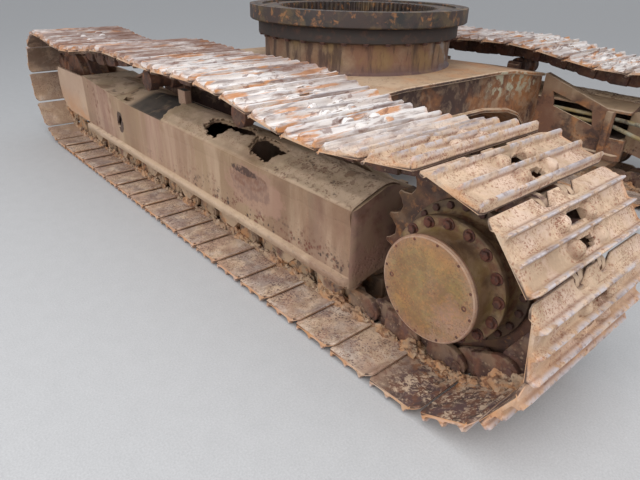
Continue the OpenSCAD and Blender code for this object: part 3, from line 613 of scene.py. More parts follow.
def bolt_finish():
    f = Finish("rusted_bolts", "rust", 0.8)
    f.layer("brown", 0.5, (20, 0.46, 0.56))
    f.layer("dark", 0.7, (60, 0.46, 0.56))
    # Darker beyond 0.19 m from the drive's axle: on the sprocket's rim bolts this is painted shade
    f.layer("dark", 0.6, None, [("radial", 0.19, 0.20)])
    return f.done()


def carbody_finish():
    web = [("nz", 0.5, 0.2)]
    top = [("nz", 0.3, 0.7)]
    f = Finish("rusted_carbody", "brown", 0.85)
    f.layer("orange", 0.45, (6, 0.42, 0.6))
    f.layer("dark", 0.9, (4, 0.34, 0.5), web + [("y", -0.52, -0.36)])
    f.layer("dark", 0.8, (4, 0.46, 0.56), web)
    f.layer("ochre", 0.4, (16, 0.5, 0.6), web)
    f.layer("orange", 0.35, (5, 0.36, 0.56), web + [("y", -0.3, -0.5)])
    peeling = [("z", 0.50, 0.58), ("y", -0.25, -0.42), ("cluster", 0.38, 0.48)]
    f.layer("flake", 0.9, (17, 0.50, 0.56), web + peeling, 0.0006)
    f.layer("ochre", 0.6, (14, 0.54, 0.58), web + [("y", -0.1, -0.4)])
    f.layer("ochre", 0.97, (6, 0.14, 0.32), top)
    f.layer("orange", 0.45, (3, 0.34, 0.54), top)
    f.layer("tan", 0.75, (7, 0.38, 0.54), top)
    f.layer("sand", 0.5, (5, 0.3, 0.5), top + [("y", 0.1, 0.45)])
    f.layer("brown", 0.4, (4, 0.36, 0.56), top + [("y", -0.05, -0.5)])
    f.layer("brown", 0.3, (14, 0.54, 0.64), top)
    f.layer("sand", 0.8, (18, 0.3, 0.55), [("edge", 0.3, 0.8)])
    f.layer("dark", 0.7, (12, 0.46, 0.6), (), -0.0008, spots=(80, 0.5))
    return f.done()


def pedestal_finish():
    f = Finish("stained_pedestal", "ochre", 0.85, 0.0004, (0.72, 0.9))
    f.layer("brown", 0.75, (5, 0.40, 0.56))
    f.layer("olive", 0.5, (7, 0.46, 0.58, (1, 1, 0.6)))
    f.layer("dark", 0.8, (7, 0.5, 0.6, (2.4, 2.4, 0.5)))
    f.layer("blue", 0.85, (9, 0.52, 0.57), [("y", 0.0, -0.3)], 0.0005)
    # Painted shade: near-black on the pedestal's side towards the right track, from y -0.34 on
    f.layer("rubber", 0.85, (5, 0.1, 0.3), [("y", -0.34, -0.43)])
    f.layer("plum", 0.85, (8, 0.3, 0.5), [("z", 0.76, 0.71)])
    f.layer("slate", 0.97, None, [("z", 0.848, 0.864)])
    f.layer("rubber", 0.6, None, [("z", 0.848, 0.864)])
    f.layer("dark", 0.45, (14, 0.3, 0.5), [("z", 0.85, 0.87)])
    f.layer("brown", 0.3, (20, 0.55, 0.65), [("z", 0.85, 0.88)])
    return f.done()


def ring_finish():
    f = Finish("greasy_ring", "slate", 0.65, 0.0004, (0.20, 0.35))
    f.layer("brown", 0.5, (6, 0.48, 0.62), [("z", 0.93, 0.95)])
    f.layer("dark", 0.85, (9, 0.38, 0.52), [("z", 0.93, 0.95)])
    f.layer("olive", 0.4, (10, 0.5, 0.6))
    f.layer("rubber", 0.45, (12, 0.34, 0.54), [("z", 0.93, 0.95)])
    f.layer("orange", 0.35, (24, 0.56, 0.66))
    return f.done()


def steel_finish():
    f = Finish("rusted_running_gear", "brown", 0.75)
    f.layer("olive", 0.35, (6, 0.44, 0.58), [("x", -1.3, -1.4)])
    f.layer("dark", 0.8, (10, 0.42, 0.56))
    f.layer("dark", 0.35, (8, 0.34, 0.5), [("x", -1.3, -1.4), ("radial", 0.2, 0.24)])
    f.layer("ochre", 0.7, (14, 0.5, 0.62), [("nz", -0.2, 0.6)])
    f.layer("tan", 0.75, (8, 0.36, 0.5), [("z", 0.36, 0.28), ("x", -1.38, -1.2)])
    f.layer("tan", 0.8, (6, 0.3, 0.46), [("x", 0.02, 0.06), ("x", 0.24, 0.20), ("z", 0.5, 0.52)])
    f.layer("orange", 0.3, (40, 0.55, 0.65))
    f.layer("sand", 0.5, (20, 0.4, 0.6), [("edge", 0.3, 0.8)])
    return f.done()


def hose_finish():
    f = Finish("dusty_hose", "slate", 0.7)
    f.layer("flake", 0.7, (6, 0.36, 0.52))
    f.layer("straw", 0.9, (5, 0.44, 0.54))
    f.layer("tan", 0.6, (40, 0.48, 0.6), [("nz", 0.0, 0.7)])
    f.layer("dark", 0.6, (20, 0.56, 0.64))
    return f.done()


FINISHES = {}


def finish(name):
    """Builds a finish the first time that a piece asks for it."""
    if name not in FINISHES:
        FINISHES[name] = globals()[name + "_finish"]()
    return FINISHES[name]


# ---------------------------------------------------------------- pieces

SMOOTH_ANGLE = math.radians(38)
WASHER = 0.003


def add_piece(name, mesh, material, body=FIXED, replaces=()):
    """Makes a mesh a piece that rides on a body, with its place in its mesh."""
    data = as_mesh(mesh, name) if isinstance(mesh, bmesh.types.BMesh) else mesh
    if not data.polygons:
        raise RuntimeError(f"{name} has no faces")
    data.materials.clear()
    data.materials.append(material)
    data.shade_smooth()
    data.set_sharp_from_angle(angle=SMOOTH_ANGLE)
    piece = bpy.data.objects.new(name, data)
    bpy.context.scene.collection.objects.link(piece)
    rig.ride(piece, body)
    if replaces:
        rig.replaces(piece, *replaces)
    return piece


def add_copy(target, source, matrix=Matrix.Identity(4)):
    """Adds a mesh to a bmesh at a place and returns the new vertices."""
    before = len(target.verts)
    target.from_mesh(source)
    target.verts.ensure_lookup_table()
    new = target.verts[before:]
    bmesh.ops.transform(target, matrix=matrix, verts=new)
    return new


def as_mesh(bm, name="prototype"):
    mesh = bpy.data.meshes.new(name)
    bm.to_mesh(mesh)
    bm.free()
    return mesh


def turned(profile, steps, axis=(0, 1, 0)):
    """Spins a profile of (along the axis, radius) rows round an axis into a closed solid."""
    bm = bmesh.new()
    direction = Vector(axis)
    side = direction.orthogonal().normalized()
    points = [bm.verts.new(direction * along + side * radius) for along, radius in profile]
    edges = [bm.edges.new(pair) for pair in zip(points, points[1:])]
    bmesh.ops.spin(
        bm,
        geom=points + edges,
        cent=(0, 0, 0),
        axis=direction,
        angle=math.tau,
        steps=steps,
        use_merge=True,
        use_duplicate=False,
    )
    bmesh.ops.remove_doubles(bm, verts=bm.verts, dist=1e-6)
    bmesh.ops.recalc_face_normals(bm, faces=bm.faces)
    return bm


def round_edges(bm, edges, width, segments):
    """Rounds edges and returns what the bevel made."""
    return bmesh.ops.bevel(
        bm, geom=edges, offset=width, segments=segments, affect="EDGES", profile=0.5, material=-1, clamp_overlap=True
    )


def extruded(bm, faces, move):
    """Grows faces by a move."""
    grown = bmesh.ops.extrude_face_region(bm, geom=faces)
    bmesh.ops.translate(bm, vec=move, verts=[g for g in grown["geom"] if isinstance(g, bmesh.types.BMVert)])


def plate_from(outline, thickness, ease):
    """A plate in X and Z from an outline, thickness along Y about zero, with eased edges."""
    bm = bmesh.new()
    face = bm.faces.new([bm.verts.new((x, -thickness / 2, z)) for x, z in outline])
    extruded(bm, [face], (0, thickness, 0))
    bmesh.ops.recalc_face_normals(bm, faces=bm.faces)
    round_edges(bm, [e for e in bm.edges if abs(e.verts[0].co.y - e.verts[1].co.y) < 1e-6], ease, 2)
    return bm


def hex_head(radius, height, washer=0.0):
    """A bolt head along +Y from zero, with a washer under it and a chamfered top."""
    bm = bmesh.new()
    if washer:
        add_copy(bm, as_mesh(turned([(0, 0), (0, washer), (WASHER, washer), (WASHER, 0)], 16)))
    head = bmesh.new()
    ring = bmesh.ops.create_circle(head, cap_ends=True, segments=6, radius=radius)
    bmesh.ops.rotate(head, verts=ring["verts"], matrix=Matrix.Rotation(-math.pi / 2, 3, "X"))
    extruded(head, list(head.faces), (0, height, 0))
    rim = [e for e in head.edges if all(abs(v.co.y - height) < 1e-6 for v in e.verts)]
    round_edges(head, rim, radius * 0.16, 2)
    bmesh.ops.recalc_face_normals(head, faces=head.faces)
    add_copy(bm, as_mesh(head))
    return bm


# ---------------------------------------------------------------- the chain's pin line


WRAP_STEP = 5  # degrees between points round a wheel
SPAN_STEPS = 20
SAG_SKEW = 0.8  # how far the outer spans sag deeper towards the wheels
FRAME_BEHIND = 0.034  # from the drive's pin circle to the frame's rear end


def wheel_arc(centre, height, radius, side, first):
    """Points round the half of a wheel that faces a side, every few degrees from its lowest point."""
    turns = [math.radians(step * WRAP_STEP) for step in range(first, 180 // WRAP_STEP + 1)]
    return [(centre + side * radius * math.sin(a), height + side * radius * math.cos(a)) for a in turns]


def chain_layout():
    """Works out the pin line as the CAD model lays it, and returns its wheels' place and the pins."""
    s = sizes()
    pin_low = s.grouser + s.plate + s.seat
    pin_r = s.pitch / 2 / math.sin(math.tau / s.teeth)
    axle = pin_low + pin_r
    high = pin_low + 2 * pin_r
    wraps = s.teeth / 2
    guess = (s.shoes - wraps) * s.pitch / 2
    spans = [s.rear_carrier + guess / 2, s.front_carrier - s.rear_carrier, guess / 2 - s.front_carrier]
    sags = [s.rear_sag, s.middle_sag, s.front_sag]
    lifts = [0, s.lift, s.lift, 0]
    climbs = [b - a for a, b in zip(lifts, lifts[1:])]
    extra = sum(((math.pi * sags[i] / 2) ** 2 + climbs[i] ** 2 / 2) / spans[i] for i in range(3))
    half = ((s.shoes - wraps) * s.pitch - extra) / 4
    supports = [-half, s.rear_carrier, s.front_carrier, half]
    line = wheel_arc(-half, axle, pin_r, -1, 0)
    for i in range(3):
        for j in range(1, SPAN_STEPS + 1):
            t = j / SPAN_STEPS
            bent = (t**SAG_SKEW, t, 1 - (1 - t) ** SAG_SKEW)[i]
            drop = sags[i] * (1 - math.cos(math.tau * bent)) / 2
            line.append((supports[i] + (supports[i + 1] - supports[i]) * t, high + lifts[i] + climbs[i] * t - drop))
    line += wheel_arc(half, axle, pin_r, 1, 1)
    # Lengths start at the last point, as in the CAD model
    points = [Vector(p) for p in line[-1:] + line]
    lengths = [0.0]
    for a, b in zip(points, points[1:]):
        lengths.append(lengths[-1] + (b - a).length)
    total = lengths[-1]

    def on_line(along):
        along %= total
        i = min(bisect_right(lengths, along), len(points) - 1)
        t = (along - lengths[i - 1]) / (lengths[i] - lengths[i - 1])
        return points[i - 1].lerp(points[i], t)

    walked = [0.0]
    for _ in range(s.shoes):
        here = walked[-1]
        there = here + s.pitch
        for _ in range(5):
            there += s.pitch - (on_line(there) - on_line(here)).length
        walked.append(there)
    closing = total / walked[-1]
    pins = [on_line(w * closing) for w in walked[:-1]]
    return {"pins": pins, "half": half, "axle": axle, "pin_r": pin_r, "frame_rear": -half + pin_r + FRAME_BEHIND}


def shoe_places(layout, side):
    """One matrix a shoe: X along the shoe from its first pin, Z outward, Y to the left."""
    pins = layout["pins"]
    middle = side * sizes().gauge / 2
    places = []
    for a, b in zip(pins, pins[1:] + pins[:1]):
        u = (b - a).normalized()
        places.append(Matrix(((u.x, 0, -u.y, a.x), (0, 1, 0, middle), (u.y, 0, u.x, a.y), (0, 0, 0, 1))))
    return places


# A grouser from its foot to its foot: part of the pitch from its crest, part of the grouser's height, share of crest
GROUSER = [
    (-0.052, 0.05, 0.0), (-0.030, 0.32, 0.2), (-0.012, 0.90, 0.8), (0.0, 1.0, 1.0), (0.020, 0.98, 1.0),
    (0.034, 0.72, 0.6), (0.052, 0.22, 0.1),
]
# Upper outline of a shoe: part of the pitch, height over the seat in parts of plate and grouser, share of crest
SHOE_TOP = [
    (0.080, 0.3, 0.0, 0.0), (0.085, 1.0, 0.0, 0.0), (0.094, 1.0, 0.30, 0.2), (0.106, 1.0, 0.88, 0.8),
    (0.122, 1.0, 1.0, 1.0), (0.146, 1.0, 0.97, 1.0), (0.160, 1.0, 0.70, 0.6), (0.176, 1.0, 0.22, 0.1),
    (0.200, 1.0, 0.04, 0.0),
    *((part, 1.0, 0.0, 0.0) for part in (0.240, 0.290, 0.345, 0.400)),
    *((0.492 + part, 1.0, height, worn) for part, height, worn in GROUSER),
    (0.568, 1.0, 0.03, 0.0),
    *((part, 1.0, 0.0, 0.0) for part in (0.610, 0.660, 0.710, 0.770)),
    *((0.858 + part, 1.0, height, worn) for part, height, worn in GROUSER),
    (0.936, 1.0, 0.0, 0.0), (0.990, 0.7, 0.0, 0.0), (1.050, -0.1, 0.0, 0.0), (1.098, -0.6, 0.0, 0.0),
    (1.134, -0.8, 0.0, 0.0),
]
# Inner outline back from the lip: part of the pitch, height over the seat in parts of plate
SHOE_INNER = [
    (1.136, -1.4), (1.098, -1.6), (1.040, -1.0), (0.985, -0.2),
    *((part, 0.0) for part in (0.930, 0.770, 0.710, 0.660, 0.610, 0.400, 0.345, 0.290, 0.240, 0.086)),
]
# Holes through the plate: part of the pitch, half length along and half width across
SHOE_HOLES = [(0.685, 0.021, 0.040), (0.330, 0.016, 0.030)]
BOLT_ROWS = (0.330, 0.690)
SHOE_MARKS = ("crest", "inner", "tip", "gap", "boss")


def shoe_stations(width):
    """Places across a shoe, close together over the chain and wide apart towards its ends."""
    half = width / 2
    inner = [i * 0.0085 for i in range(13)]
    outer = [0.125, 0.165, 0.210, 0.250, 0.280, half - 0.010, half - 0.003, half]
    right = inner + outer
    return [-y for y in reversed(right[1:])] + right


LIP = 0.95  # part of the pitch from which a shoe bends over the next one
HEEL = 0.11  # part of the pitch up to which a shoe's leading corners are worn
NOTCH = (0.031, 0.042)  # half width and depth of the notches in the lip over the links
MOUND = (0.024, 0.025, 0.024)  # half length, half width and height of the mud over a bolt head
CORNER = 0.020
TIP = 0.030


def shoe_layers(bm):
    """The shoe's attributes that its finish reads."""
    return {key: bm.verts.layers.float.get(key) or bm.verts.layers.float.new(key) for key in SHOE_MARKS}


def shoe_body(bm, mark):
    """Carries a shoe's outline across its width."""
    s = sizes()
    stations = shoe_stations(s.shoe_width)
    outline = []
    # The faces beside the slot to the next shoe, at the leading edge and under the lip's end, are marked for a painted
    # shadow
    for part, plates, grousers, worn in SHOE_TOP:
        vert = bm.verts.new((part * s.pitch, stations[0], s.seat + plates * s.plate + grousers * s.grouser))
        vert[mark["crest"]] = worn
        vert[mark["gap"]] = 1.0 if part < 0.082 else 0.0
        outline.append(vert)
    for part, plates in SHOE_INNER:
        vert = bm.verts.new((part * s.pitch, stations[0], s.seat + plates * s.plate))
        vert[mark["inner"]] = 1.0
        vert[mark["gap"]] = 1.0 if part > 1.12 else 0.6 if part > 1.09 else 0.0
        outline.append(vert)
    rim = [bm.edges.new(pair) for pair in zip(outline, outline[1:] + outline[:1])]
    first = list(rim)
    for y0, y1 in zip(stations, stations[1:]):
        grown = bmesh.ops.extrude_edge_only(bm, edges=rim)
        verts = [g for g in grown["geom"] if isinstance(g, bmesh.types.BMVert)]
        rim = [g for g in grown["geom"] if isinstance(g, bmesh.types.BMEdge)]
        bmesh.ops.translate(bm, vec=(0, y1 - y0, 0), verts=verts)
    bmesh.ops.contextual_create(bm, geom=first)
    bmesh.ops.contextual_create(bm, geom=rim)


def wear_shoe(bm, mark):
    """Cuts the notches over the links, heaps mud over the bolt heads and rounds the worn corners and tips."""
    s = sizes()
    link_y = s.chain / 2 - s.link / 2
    end = s.shoe_width / 2
    for vert in bm.verts:
        x, y, z = vert.co
        part = x / s.pitch
        off = (abs(y) - link_y) / NOTCH[0]
        if part > LIP and abs(off) < 1:
            depth = NOTCH[1] * (1 - off * off) ** 0.4
            vert.co.x -= depth * min(1, (part - LIP) / 0.208 * 1.1)
        if vert[mark["inner"]] < 0.5:
            for row in BOLT_ROWS:
                reach = math.hypot((x - row * s.pitch) / MOUND[0], (abs(y) - link_y) / MOUND[1])
                vert[mark["boss"]] = max(vert[mark["boss"]], 1.4 - reach)
                if reach < 1:
                    vert.co.z = max(z, s.seat + s.plate + MOUND[2] * (1 - reach * reach) ** 0.5)
        corner = max(0.0, 1 - (end - abs(y)) / CORNER) ** 2
        if part > LIP:
            bend = corner * min(1, (part - LIP) / 0.2)
            vert.co.x -= 0.024 * bend
            vert.co.z += 0.010 * bend
        elif part < HEEL:
            vert.co.x += 0.012 * corner * (HEEL - part) / 0.05
        if vert[mark["crest"]] > 0.5 and abs(y) > end - 0.003:
            vert.co.z -= 0.006
        vert[mark["tip"]] = max(0.0, 1 - (end - abs(y)) / TIP)


def open_holes(bm):
    """Opens the mud holes, with walls through the plate."""
    for part, half_u, half_y in SHOE_HOLES:
        middle = part * sizes().pitch

        def inside(face):
            at = face.calc_center_median()
            return abs((at.x - middle) / half_u) ** 3 + abs(at.y / half_y) ** 3 < 1 and abs(face.normal.y) < 0.5

        bmesh.ops.delete(bm, geom=[f for f in bm.faces if inside(f)], context="FACES")
        rims = [e for e in bm.edges if len(e.link_faces) == 1 and abs(e.verts[0].co.x - middle) < half_u * 2.2]
        bmesh.ops.bridge_loops(bm, edges=rims)


def shoe_prototype():
    """One shoe: its profile carried across the width, with notches, holes and bolt bosses."""
    bm = bmesh.new()
    mark = shoe_layers(bm)
    shoe_body(bm, mark)
    wear_shoe(bm, mark)
    open_holes(bm)
    bmesh.ops.recalc_face_normals(bm, faces=bm.faces)
    return as_mesh(bm, "shoe_prototype")


def cake_shoe(verts, mark, shift, upper):
    """Roughens one shoe's crests and its mud; on the upper run the mud fills the plates between the grousers."""
    s = sizes()
    plate_z = s.seat + s.plate
    for vert in verts:
        at = vert.co
        crest = vert[mark["crest"]]
        if vert[mark["inner"]] > 0.5:
            continue
        rough = noise.noise(at * 38 + shift)
        coarse = noise.noise(at * 11 + shift)
        if crest > 0.05:
            worn = 0.0045 + 0.006 * abs(coarse) if upper else 0.0012 + 0.0022 * abs(coarse)
            at.z -= crest * (worn + 0.0016 * rough)
            at.x += 0.0016 * coarse * crest
        elif at.z > plate_z - 0.001:
            caked = max(0.0, coarse + 0.25 - abs(at.y) * 1.6)
            at.z += 0.009 * caked + 0.0008 * rough
            if vert[mark["boss"]] > 0.4 and abs(at.y) > 0.045:
                at.z += 0.005 * coarse + 0.004 * noise.noise(at * 70 + shift)
            if upper and at.x < LIP * s.pitch:
                at.z = max(at.z, plate_z + 0.003 + 0.006 * coarse + 0.002 * rough)
                at.z = min(at.z, plate_z + 0.012 + 0.003 * rough)
            at.z = min(at.z, plate_z + s.grouser - 0.0005)


class UNDERCARRIAGE_OT_shoes(bpy.types.Operator):
    """Builds the worn triple-grouser shoes of both tracks"""

    bl_idname = "undercarriage.shoes"
    bl_label = "Track Shoes"

    def execute(self, context):
        layout = chain_layout()
        prototype = shoe_prototype()
        for name, side in SIDES:
            bm = bmesh.new()
            for i, place in enumerate(shoe_places(layout, side)):
                new = add_copy(bm, prototype)
                shift = Vector((i * 3.7, side * 11.0, i * 1.3))
                at = place.translation
                upper = at.z > layout["axle"] + 0.29 and at.x > 0.1 - layout["half"]
                cake_shoe(new, shoe_layers(bm), shift, upper)
                bmesh.ops.transform(bm, matrix=place, verts=new)
            add_piece(f"track_shoes_{name}", bm, finish("shoe"), replaces=(f"track_{name}",))
        return {"FINISHED"}


# A link plate in parts of the pitch and in metres outward: the half at the bushing and the half at the pin
LINK_BUSHING_HALF = [
    (-0.030, -0.010), (-0.020, -0.034), (0.000, -0.050), (0.024, -0.058), (0.112, -0.058), (0.124, -0.040),
    (0.126, 0.010), (0.116, 0.040), (0.040, 0.042), (0.030, 0.030), (0.010, 0.036), (-0.012, 0.032), (-0.028, 0.014),
]
LINK_PIN_HALF = [
    (0.074, -0.058), (0.168, -0.058), (0.190, -0.048), (0.212, -0.032), (0.222, -0.010), (0.220, 0.014),
    (0.204, 0.032), (0.184, 0.036), (0.166, 0.028), (0.154, 0.042), (0.078, 0.042), (0.068, 0.010),
]


LINK_PLATE = 0.021
PIN_RADIUS = 0.020
BUSHING_RADIUS = 0.029


def link_prototype(half):
    """The four half links at a pin: two plates at the bushing and two further out at the pin."""
    bm = bmesh.new()
    for outline, inset in ((LINK_BUSHING_HALF, 0.031), (LINK_PIN_HALF, 0.011)):
        mesh = as_mesh(plate_from(outline, LINK_PLATE, 0.004))
        for flip in (1, -1):
            add_copy(bm, mesh, Matrix.Translation((0, flip * (half - inset), 0)))
    return as_mesh(bm, "link_prototype")


def pin_prototype(half):
    """A pin with hollow chamfered ends, from side to side of the chain."""
    end = half + 0.005
    tip = [(-end + 0.004, 0), (-end, 0.012), (-end, 0.017), (-end + 0.003, PIN_RADIUS)]
    return as_mesh(turned(tip + [(-along, radius) for along, radius in reversed(tip)], 16))


class UNDERCARRIAGE_OT_links(bpy.types.Operator):
    """Builds the chain's offset links with their pins and bushings"""

    bl_idname = "undercarriage.links"
    bl_label = "Links and Pins"

    def execute(self, context):
        s = sizes()
        layout = chain_layout()
        link = link_prototype(s.chain / 2)
        pin = pin_prototype(s.chain / 2)
        inside = s.chain / 2 - s.link
        bore = PIN_RADIUS - 0.001
        tube = [(-inside, bore), (-inside, BUSHING_RADIUS), (inside, BUSHING_RADIUS), (inside, bore)]
        bushing = as_mesh(turned(tube, 18))
        for name, side in SIDES:
            links = bmesh.new()
            pins = bmesh.new()
            for place in shoe_places(layout, side):
                add_copy(links, link, place)
                add_copy(pins, pin, place)
                add_copy(pins, bushing, place)
            add_piece(f"track_links_{name}", links, finish("link"))
            add_piece(f"track_pins_{name}", pins, finish("link"))
        return {"FINISHED"}


# Heaps of mud along a link: part of the pitch, reach and height in metres
MUD_HEAPS = [
    (0.10, 0.020, 0.026), (0.34, 0.017, 0.015), (0.56, 0.015, 0.020), (0.76, 0.020, 0.028), (0.95, 0.014, 0.016)
]


def heap(verts, middle, radii, ceiling, shift):
    """Turns a ball's vertices into a lump of mud with given radii round a place, under a ceiling."""
    for vert in verts:
        at = vert.co
        at *= 1 + 0.55 * noise.noise(at * 1.7 + shift) + 0.3 * noise.noise(at * 5 + shift)
        at += 0.09 * noise.noise_vector(at * 9 + shift)
        vert.co = middle + at * radii
        at.z = min(at.z, ceiling)


class UNDERCARRIAGE_OT_caked_mud(bpy.types.Operator):
    """Builds the lumps of dried mud beside the links"""

    bl_idname = "undercarriage.caked_mud"
    bl_label = "Caked Mud"

    def execute(self, context):
        s = sizes()
        layout = chain_layout()
        lump = bmesh.new()
        bmesh.ops.create_icosphere(lump, subdivisions=3, radius=1.0)
        lump = as_mesh(lump, "lump")
        for name, side in SIDES:
            bm = bmesh.new()
            for i, place in enumerate(shoe_places(layout, side)):
                if place.translation.z > layout["axle"] - 0.1:
                    continue
                for flip in (1, -1):
                    for j, (part, reach, tall) in enumerate(MUD_HEAPS):
                        chance = noise.noise(Vector((i * 2.3 + j * 5.1, flip * 3.3, side * 7.7)))
                        size = 1 + 1.1 * chance
                        shift = Vector((i * 1.9, flip * 4.0, side * 6.0 + j))
                        middle = Vector((part * s.pitch + 0.02 * chance, flip * (s.chain / 2 + 0.006), s.seat - 0.004))
                        radii = Vector((reach * 1.7, reach * 0.9, tall)) * size
                        new = add_copy(bm, lump)
                        heap(new, middle, radii, s.seat + 0.004, shift)
                        bmesh.ops.transform(bm, matrix=place, verts=new)
            add_piece(f"caked_mud_{name}", bm, finish("caked"))
        return {"FINISHED"}


# Bolts and plugs of a drive: count, radius of their circle, distance out from the track's middle, first one in degrees
HUB_BOLTS = (16, 0.1765, 0.137, 63)
RIM_BOLTS = (24, 0.2065, 0.057, 11)
COVER_BOLTS = (12, 0.1515, 0.2225, 7)
COVER_PLUGS = (2, 0.128, 0.2225, 177)


def ring_of(target, mesh, row, layout, side):
    """Copies a head round the drive's axle, facing away from the machine."""
    count, radius, out, first = row
    face = Matrix.Rotation(0 if side > 0 else math.pi, 4, "Z")
    for i in range(count):
        a = math.tau * i / count + math.radians(first)
        x = radius * math.cos(a) - layout["half"]
        z = radius * math.sin(a) + layout["axle"]
        spot = Matrix.Translation((x, side * (sizes().gauge / 2 + out), z))
        add_copy(target, mesh, spot @ face @ Matrix.Rotation(a * 3, 4, "Y"))


class UNDERCARRIAGE_OT_drive(bpy.types.Operator):
    """Builds the bolts of the final drives and sprockets and the plugs of the covers"""

    bl_idname = "undercarriage.drive"
    bl_label = "Drive Bolts"

    def execute(self, context):
        layout = chain_layout()
        hub = as_mesh(hex_head(0.0135, 0.013, 0.019))
        rim = as_mesh(hex_head(0.012, 0.012))
        small = as_mesh(hex_head(0.0045, 0.003))
        bowl = [(0, 0), (0, 0.008), (0.0025, 0.008), (0.003, 0.006), (0.003, 0.004), (0.001, 0.003), (0.001, 0)]
        plug = as_mesh(turned(bowl, 20))
        groups = (
            ("hub_bolts", ((hub, HUB_BOLTS), (rim, RIM_BOLTS))),
            ("cover_bolts", ((small, COVER_BOLTS),)),
            ("cover_plugs", ((plug, COVER_PLUGS),)),
        )
        for name, side in SIDES:
            for stem, rings in groups:
                bm = bmesh.new()
                for mesh, row in rings:
                    ring_of(bm, mesh, row, layout, side)
                add_piece(f"{stem}_{name}", bm, finish("bolt"))
        return {"FINISHED"}


# Breaks through the left frame's roof: places along the frame and out from its middle
ROOF_BREAKS = [
    [(-0.236, 0.100), (-0.212, 0.051), (-0.246, 0.019), (-0.343, 0.010), (-0.426, -0.013), (-0.506, -0.010),
     (-0.564, 0.030), (-0.500, 0.053), (-0.390, 0.044), (-0.383, 0.078), (-0.384, 0.128), (-0.322, 0.128)],
    [(-0.621, 0.101), (-0.590, 0.040), (-0.621, 0.016), (-0.699, 0.024), (-0.827, 0.040), (-0.815, 0.078),
     (-0.786, 0.107), (-0.800, 0.132), (-0.751, 0.134), (-0.678, 0.124)],
]
ROOF_PORT = [(0.616, 0.150), (0.637, 0.122), (0.620, 0.104), (0.576, 0.102), (0.545, 0.118), (0.560, 0.146)]


def ragged(outline, size, seed):
    """An outline with its edges broken into small steps."""
    points = []
    for a, b in zip(outline, outline[1:] + outline[:1]):
        a, b = Vector(a), Vector(b)
        steps = max(1, int((b - a).length / 0.008))
        for i in range(steps):
            at = a.lerp(b, i / steps)
            wild = noise.noise_vector(Vector((at.x * 60, at.y * 60, seed)))
            points.append((at.x + size * wild.x, at.y + size * wild.y))
    return points


def cut(piece_mesh, outlines, low, high):
    """Takes upright holes out of a mesh. An outline that crosses itself leaves nothing, which is an error."""
    cutter = bmesh.new()
    for outline in outlines:
        face = cutter.faces.new([cutter.verts.new((x, y, low)) for x, y in outline])
        extruded(cutter, [face], (0, 0, high - low))
    bmesh.ops.recalc_face_normals(cutter, faces=cutter.faces)
    tool = bpy.data.objects.new("cutter", as_mesh(cutter))
    work = bpy.data.objects.new("work", piece_mesh)
    for item in (tool, work):
        bpy.context.scene.collection.objects.link(item)
    modifier = work.modifiers.new("cut", "BOOLEAN")
    modifier.object = tool
    modifier.solver = "EXACT"
    modifier.operation = "DIFFERENCE"
    bpy.context.view_layer.update()
    result = bpy.data.meshes.new_from_object(work.evaluated_get(bpy.context.evaluated_depsgraph_get()))
    if len(result.polygons) <= len(piece_mesh.polygons):
        raise RuntimeError(f"the holes of {piece_mesh.name} were not cut")
    for item in (tool, work):
        bpy.data.objects.remove(item)
    return result


WELD = 2e-5  # vertices closer than this are one
FLAT_ANGLE = math.radians(0.6)
SHARP_ANGLE = math.radians(28)
FOLD_RADIUS = 0.012
ROOF_CUT = (0.45, 0.62)  # heights between which the roof's holes are cut


def eased(node, width, outlines, fold):
    """A copy of a CAD node, with holes cut and its plate edges rounded; the new faces carry the attribute edge.

    fold picks the edges that are bent plate, which get a wide rounding without wear.
    """
    bm = bmesh.new()
    bm.from_mesh(frame["nodes"][node].data)
    bmesh.ops.remove_doubles(bm, verts=bm.verts, dist=WELD)
    bmesh.ops.dissolve_limit(
        bm, angle_limit=FLAT_ANGLE, use_dissolve_boundaries=False, verts=bm.verts, edges=bm.edges
    )
    mesh = as_mesh(bm, node + "_eased")
    if outlines:
        mesh = cut(mesh, outlines, *ROOF_CUT)
    bm = bmesh.new()
    bm.from_mesh(mesh)
    bmesh.ops.remove_doubles(bm, verts=bm.verts, dist=WELD)
    for name in list(bm.loops.layers.uv.keys()):
        bm.loops.layers.uv.remove(bm.loops.layers.uv[name])
    mark = bm.faces.layers.float.new("edge")
    if fold:
        round_edges(bm, [e for e in bm.edges if fold(*e.verts)], FOLD_RADIUS, 4)
    sharp = [e for e in bm.edges if len(e.link_faces) == 2 and e.calc_face_angle(0) > SHARP_ANGLE]
    for face in round_edges(bm, sharp, width, 2)["faces"]:
        face[mark] = 1.0
    return as_mesh(bm, node + "_eased")


def frame_shoulder(a, b):
    """Whether an edge is the bend between a frame's side plate and its roof."""
    s = sizes()
    outer = all(abs(abs(v.co.y) - s.gauge / 2 - s.frame_width / 2) < 0.001 for v in (a, b))
    return outer and min(a.co.z, b.co.z) > s.frame_ridge - 0.001 and abs(a.co.x - b.co.x) > 0.05


# CAD nodes whose plate edges are rounded: name without side, finish, width in parts of the plate edge, each side
ROUNDED = [
    ("carbody", "carbody", 1.2, False),
    ("pedestal", "pedestal", 0.8, False),
    ("track_frame", "frame", 1.2, True),
    ("carrier_brackets", "steel", 0.8, True),
    ("drive_cover", "cover", 0.7, True),
    ("final_drive", "hub", 0.7, True),
    ("sprocket", "steel", 0.8, True),
    ("travel_motor", "steel", 0.8, True),
    ("idler_yoke", "steel", 1.0, True),
]
# CAD nodes that keep their own mesh: name without side, finish, each side
KEPT = [
    ("swing_ring_inner", "ring", False),
    ("centre_swivel", "steel", False),
    ("swing_ring_outer", "ring", False),
    ("idler", "steel", True),
    ("track_rollers", "steel", True),
    ("carrier_rollers", "steel", True),
]


def nodes_of(stem, paired):
    """The names of a CAD piece's nodes with their side, which is 0 for a single one."""
    return [(f"{stem}_{name}", side) for name, side in SIDES] if paired else [(stem, 0)]


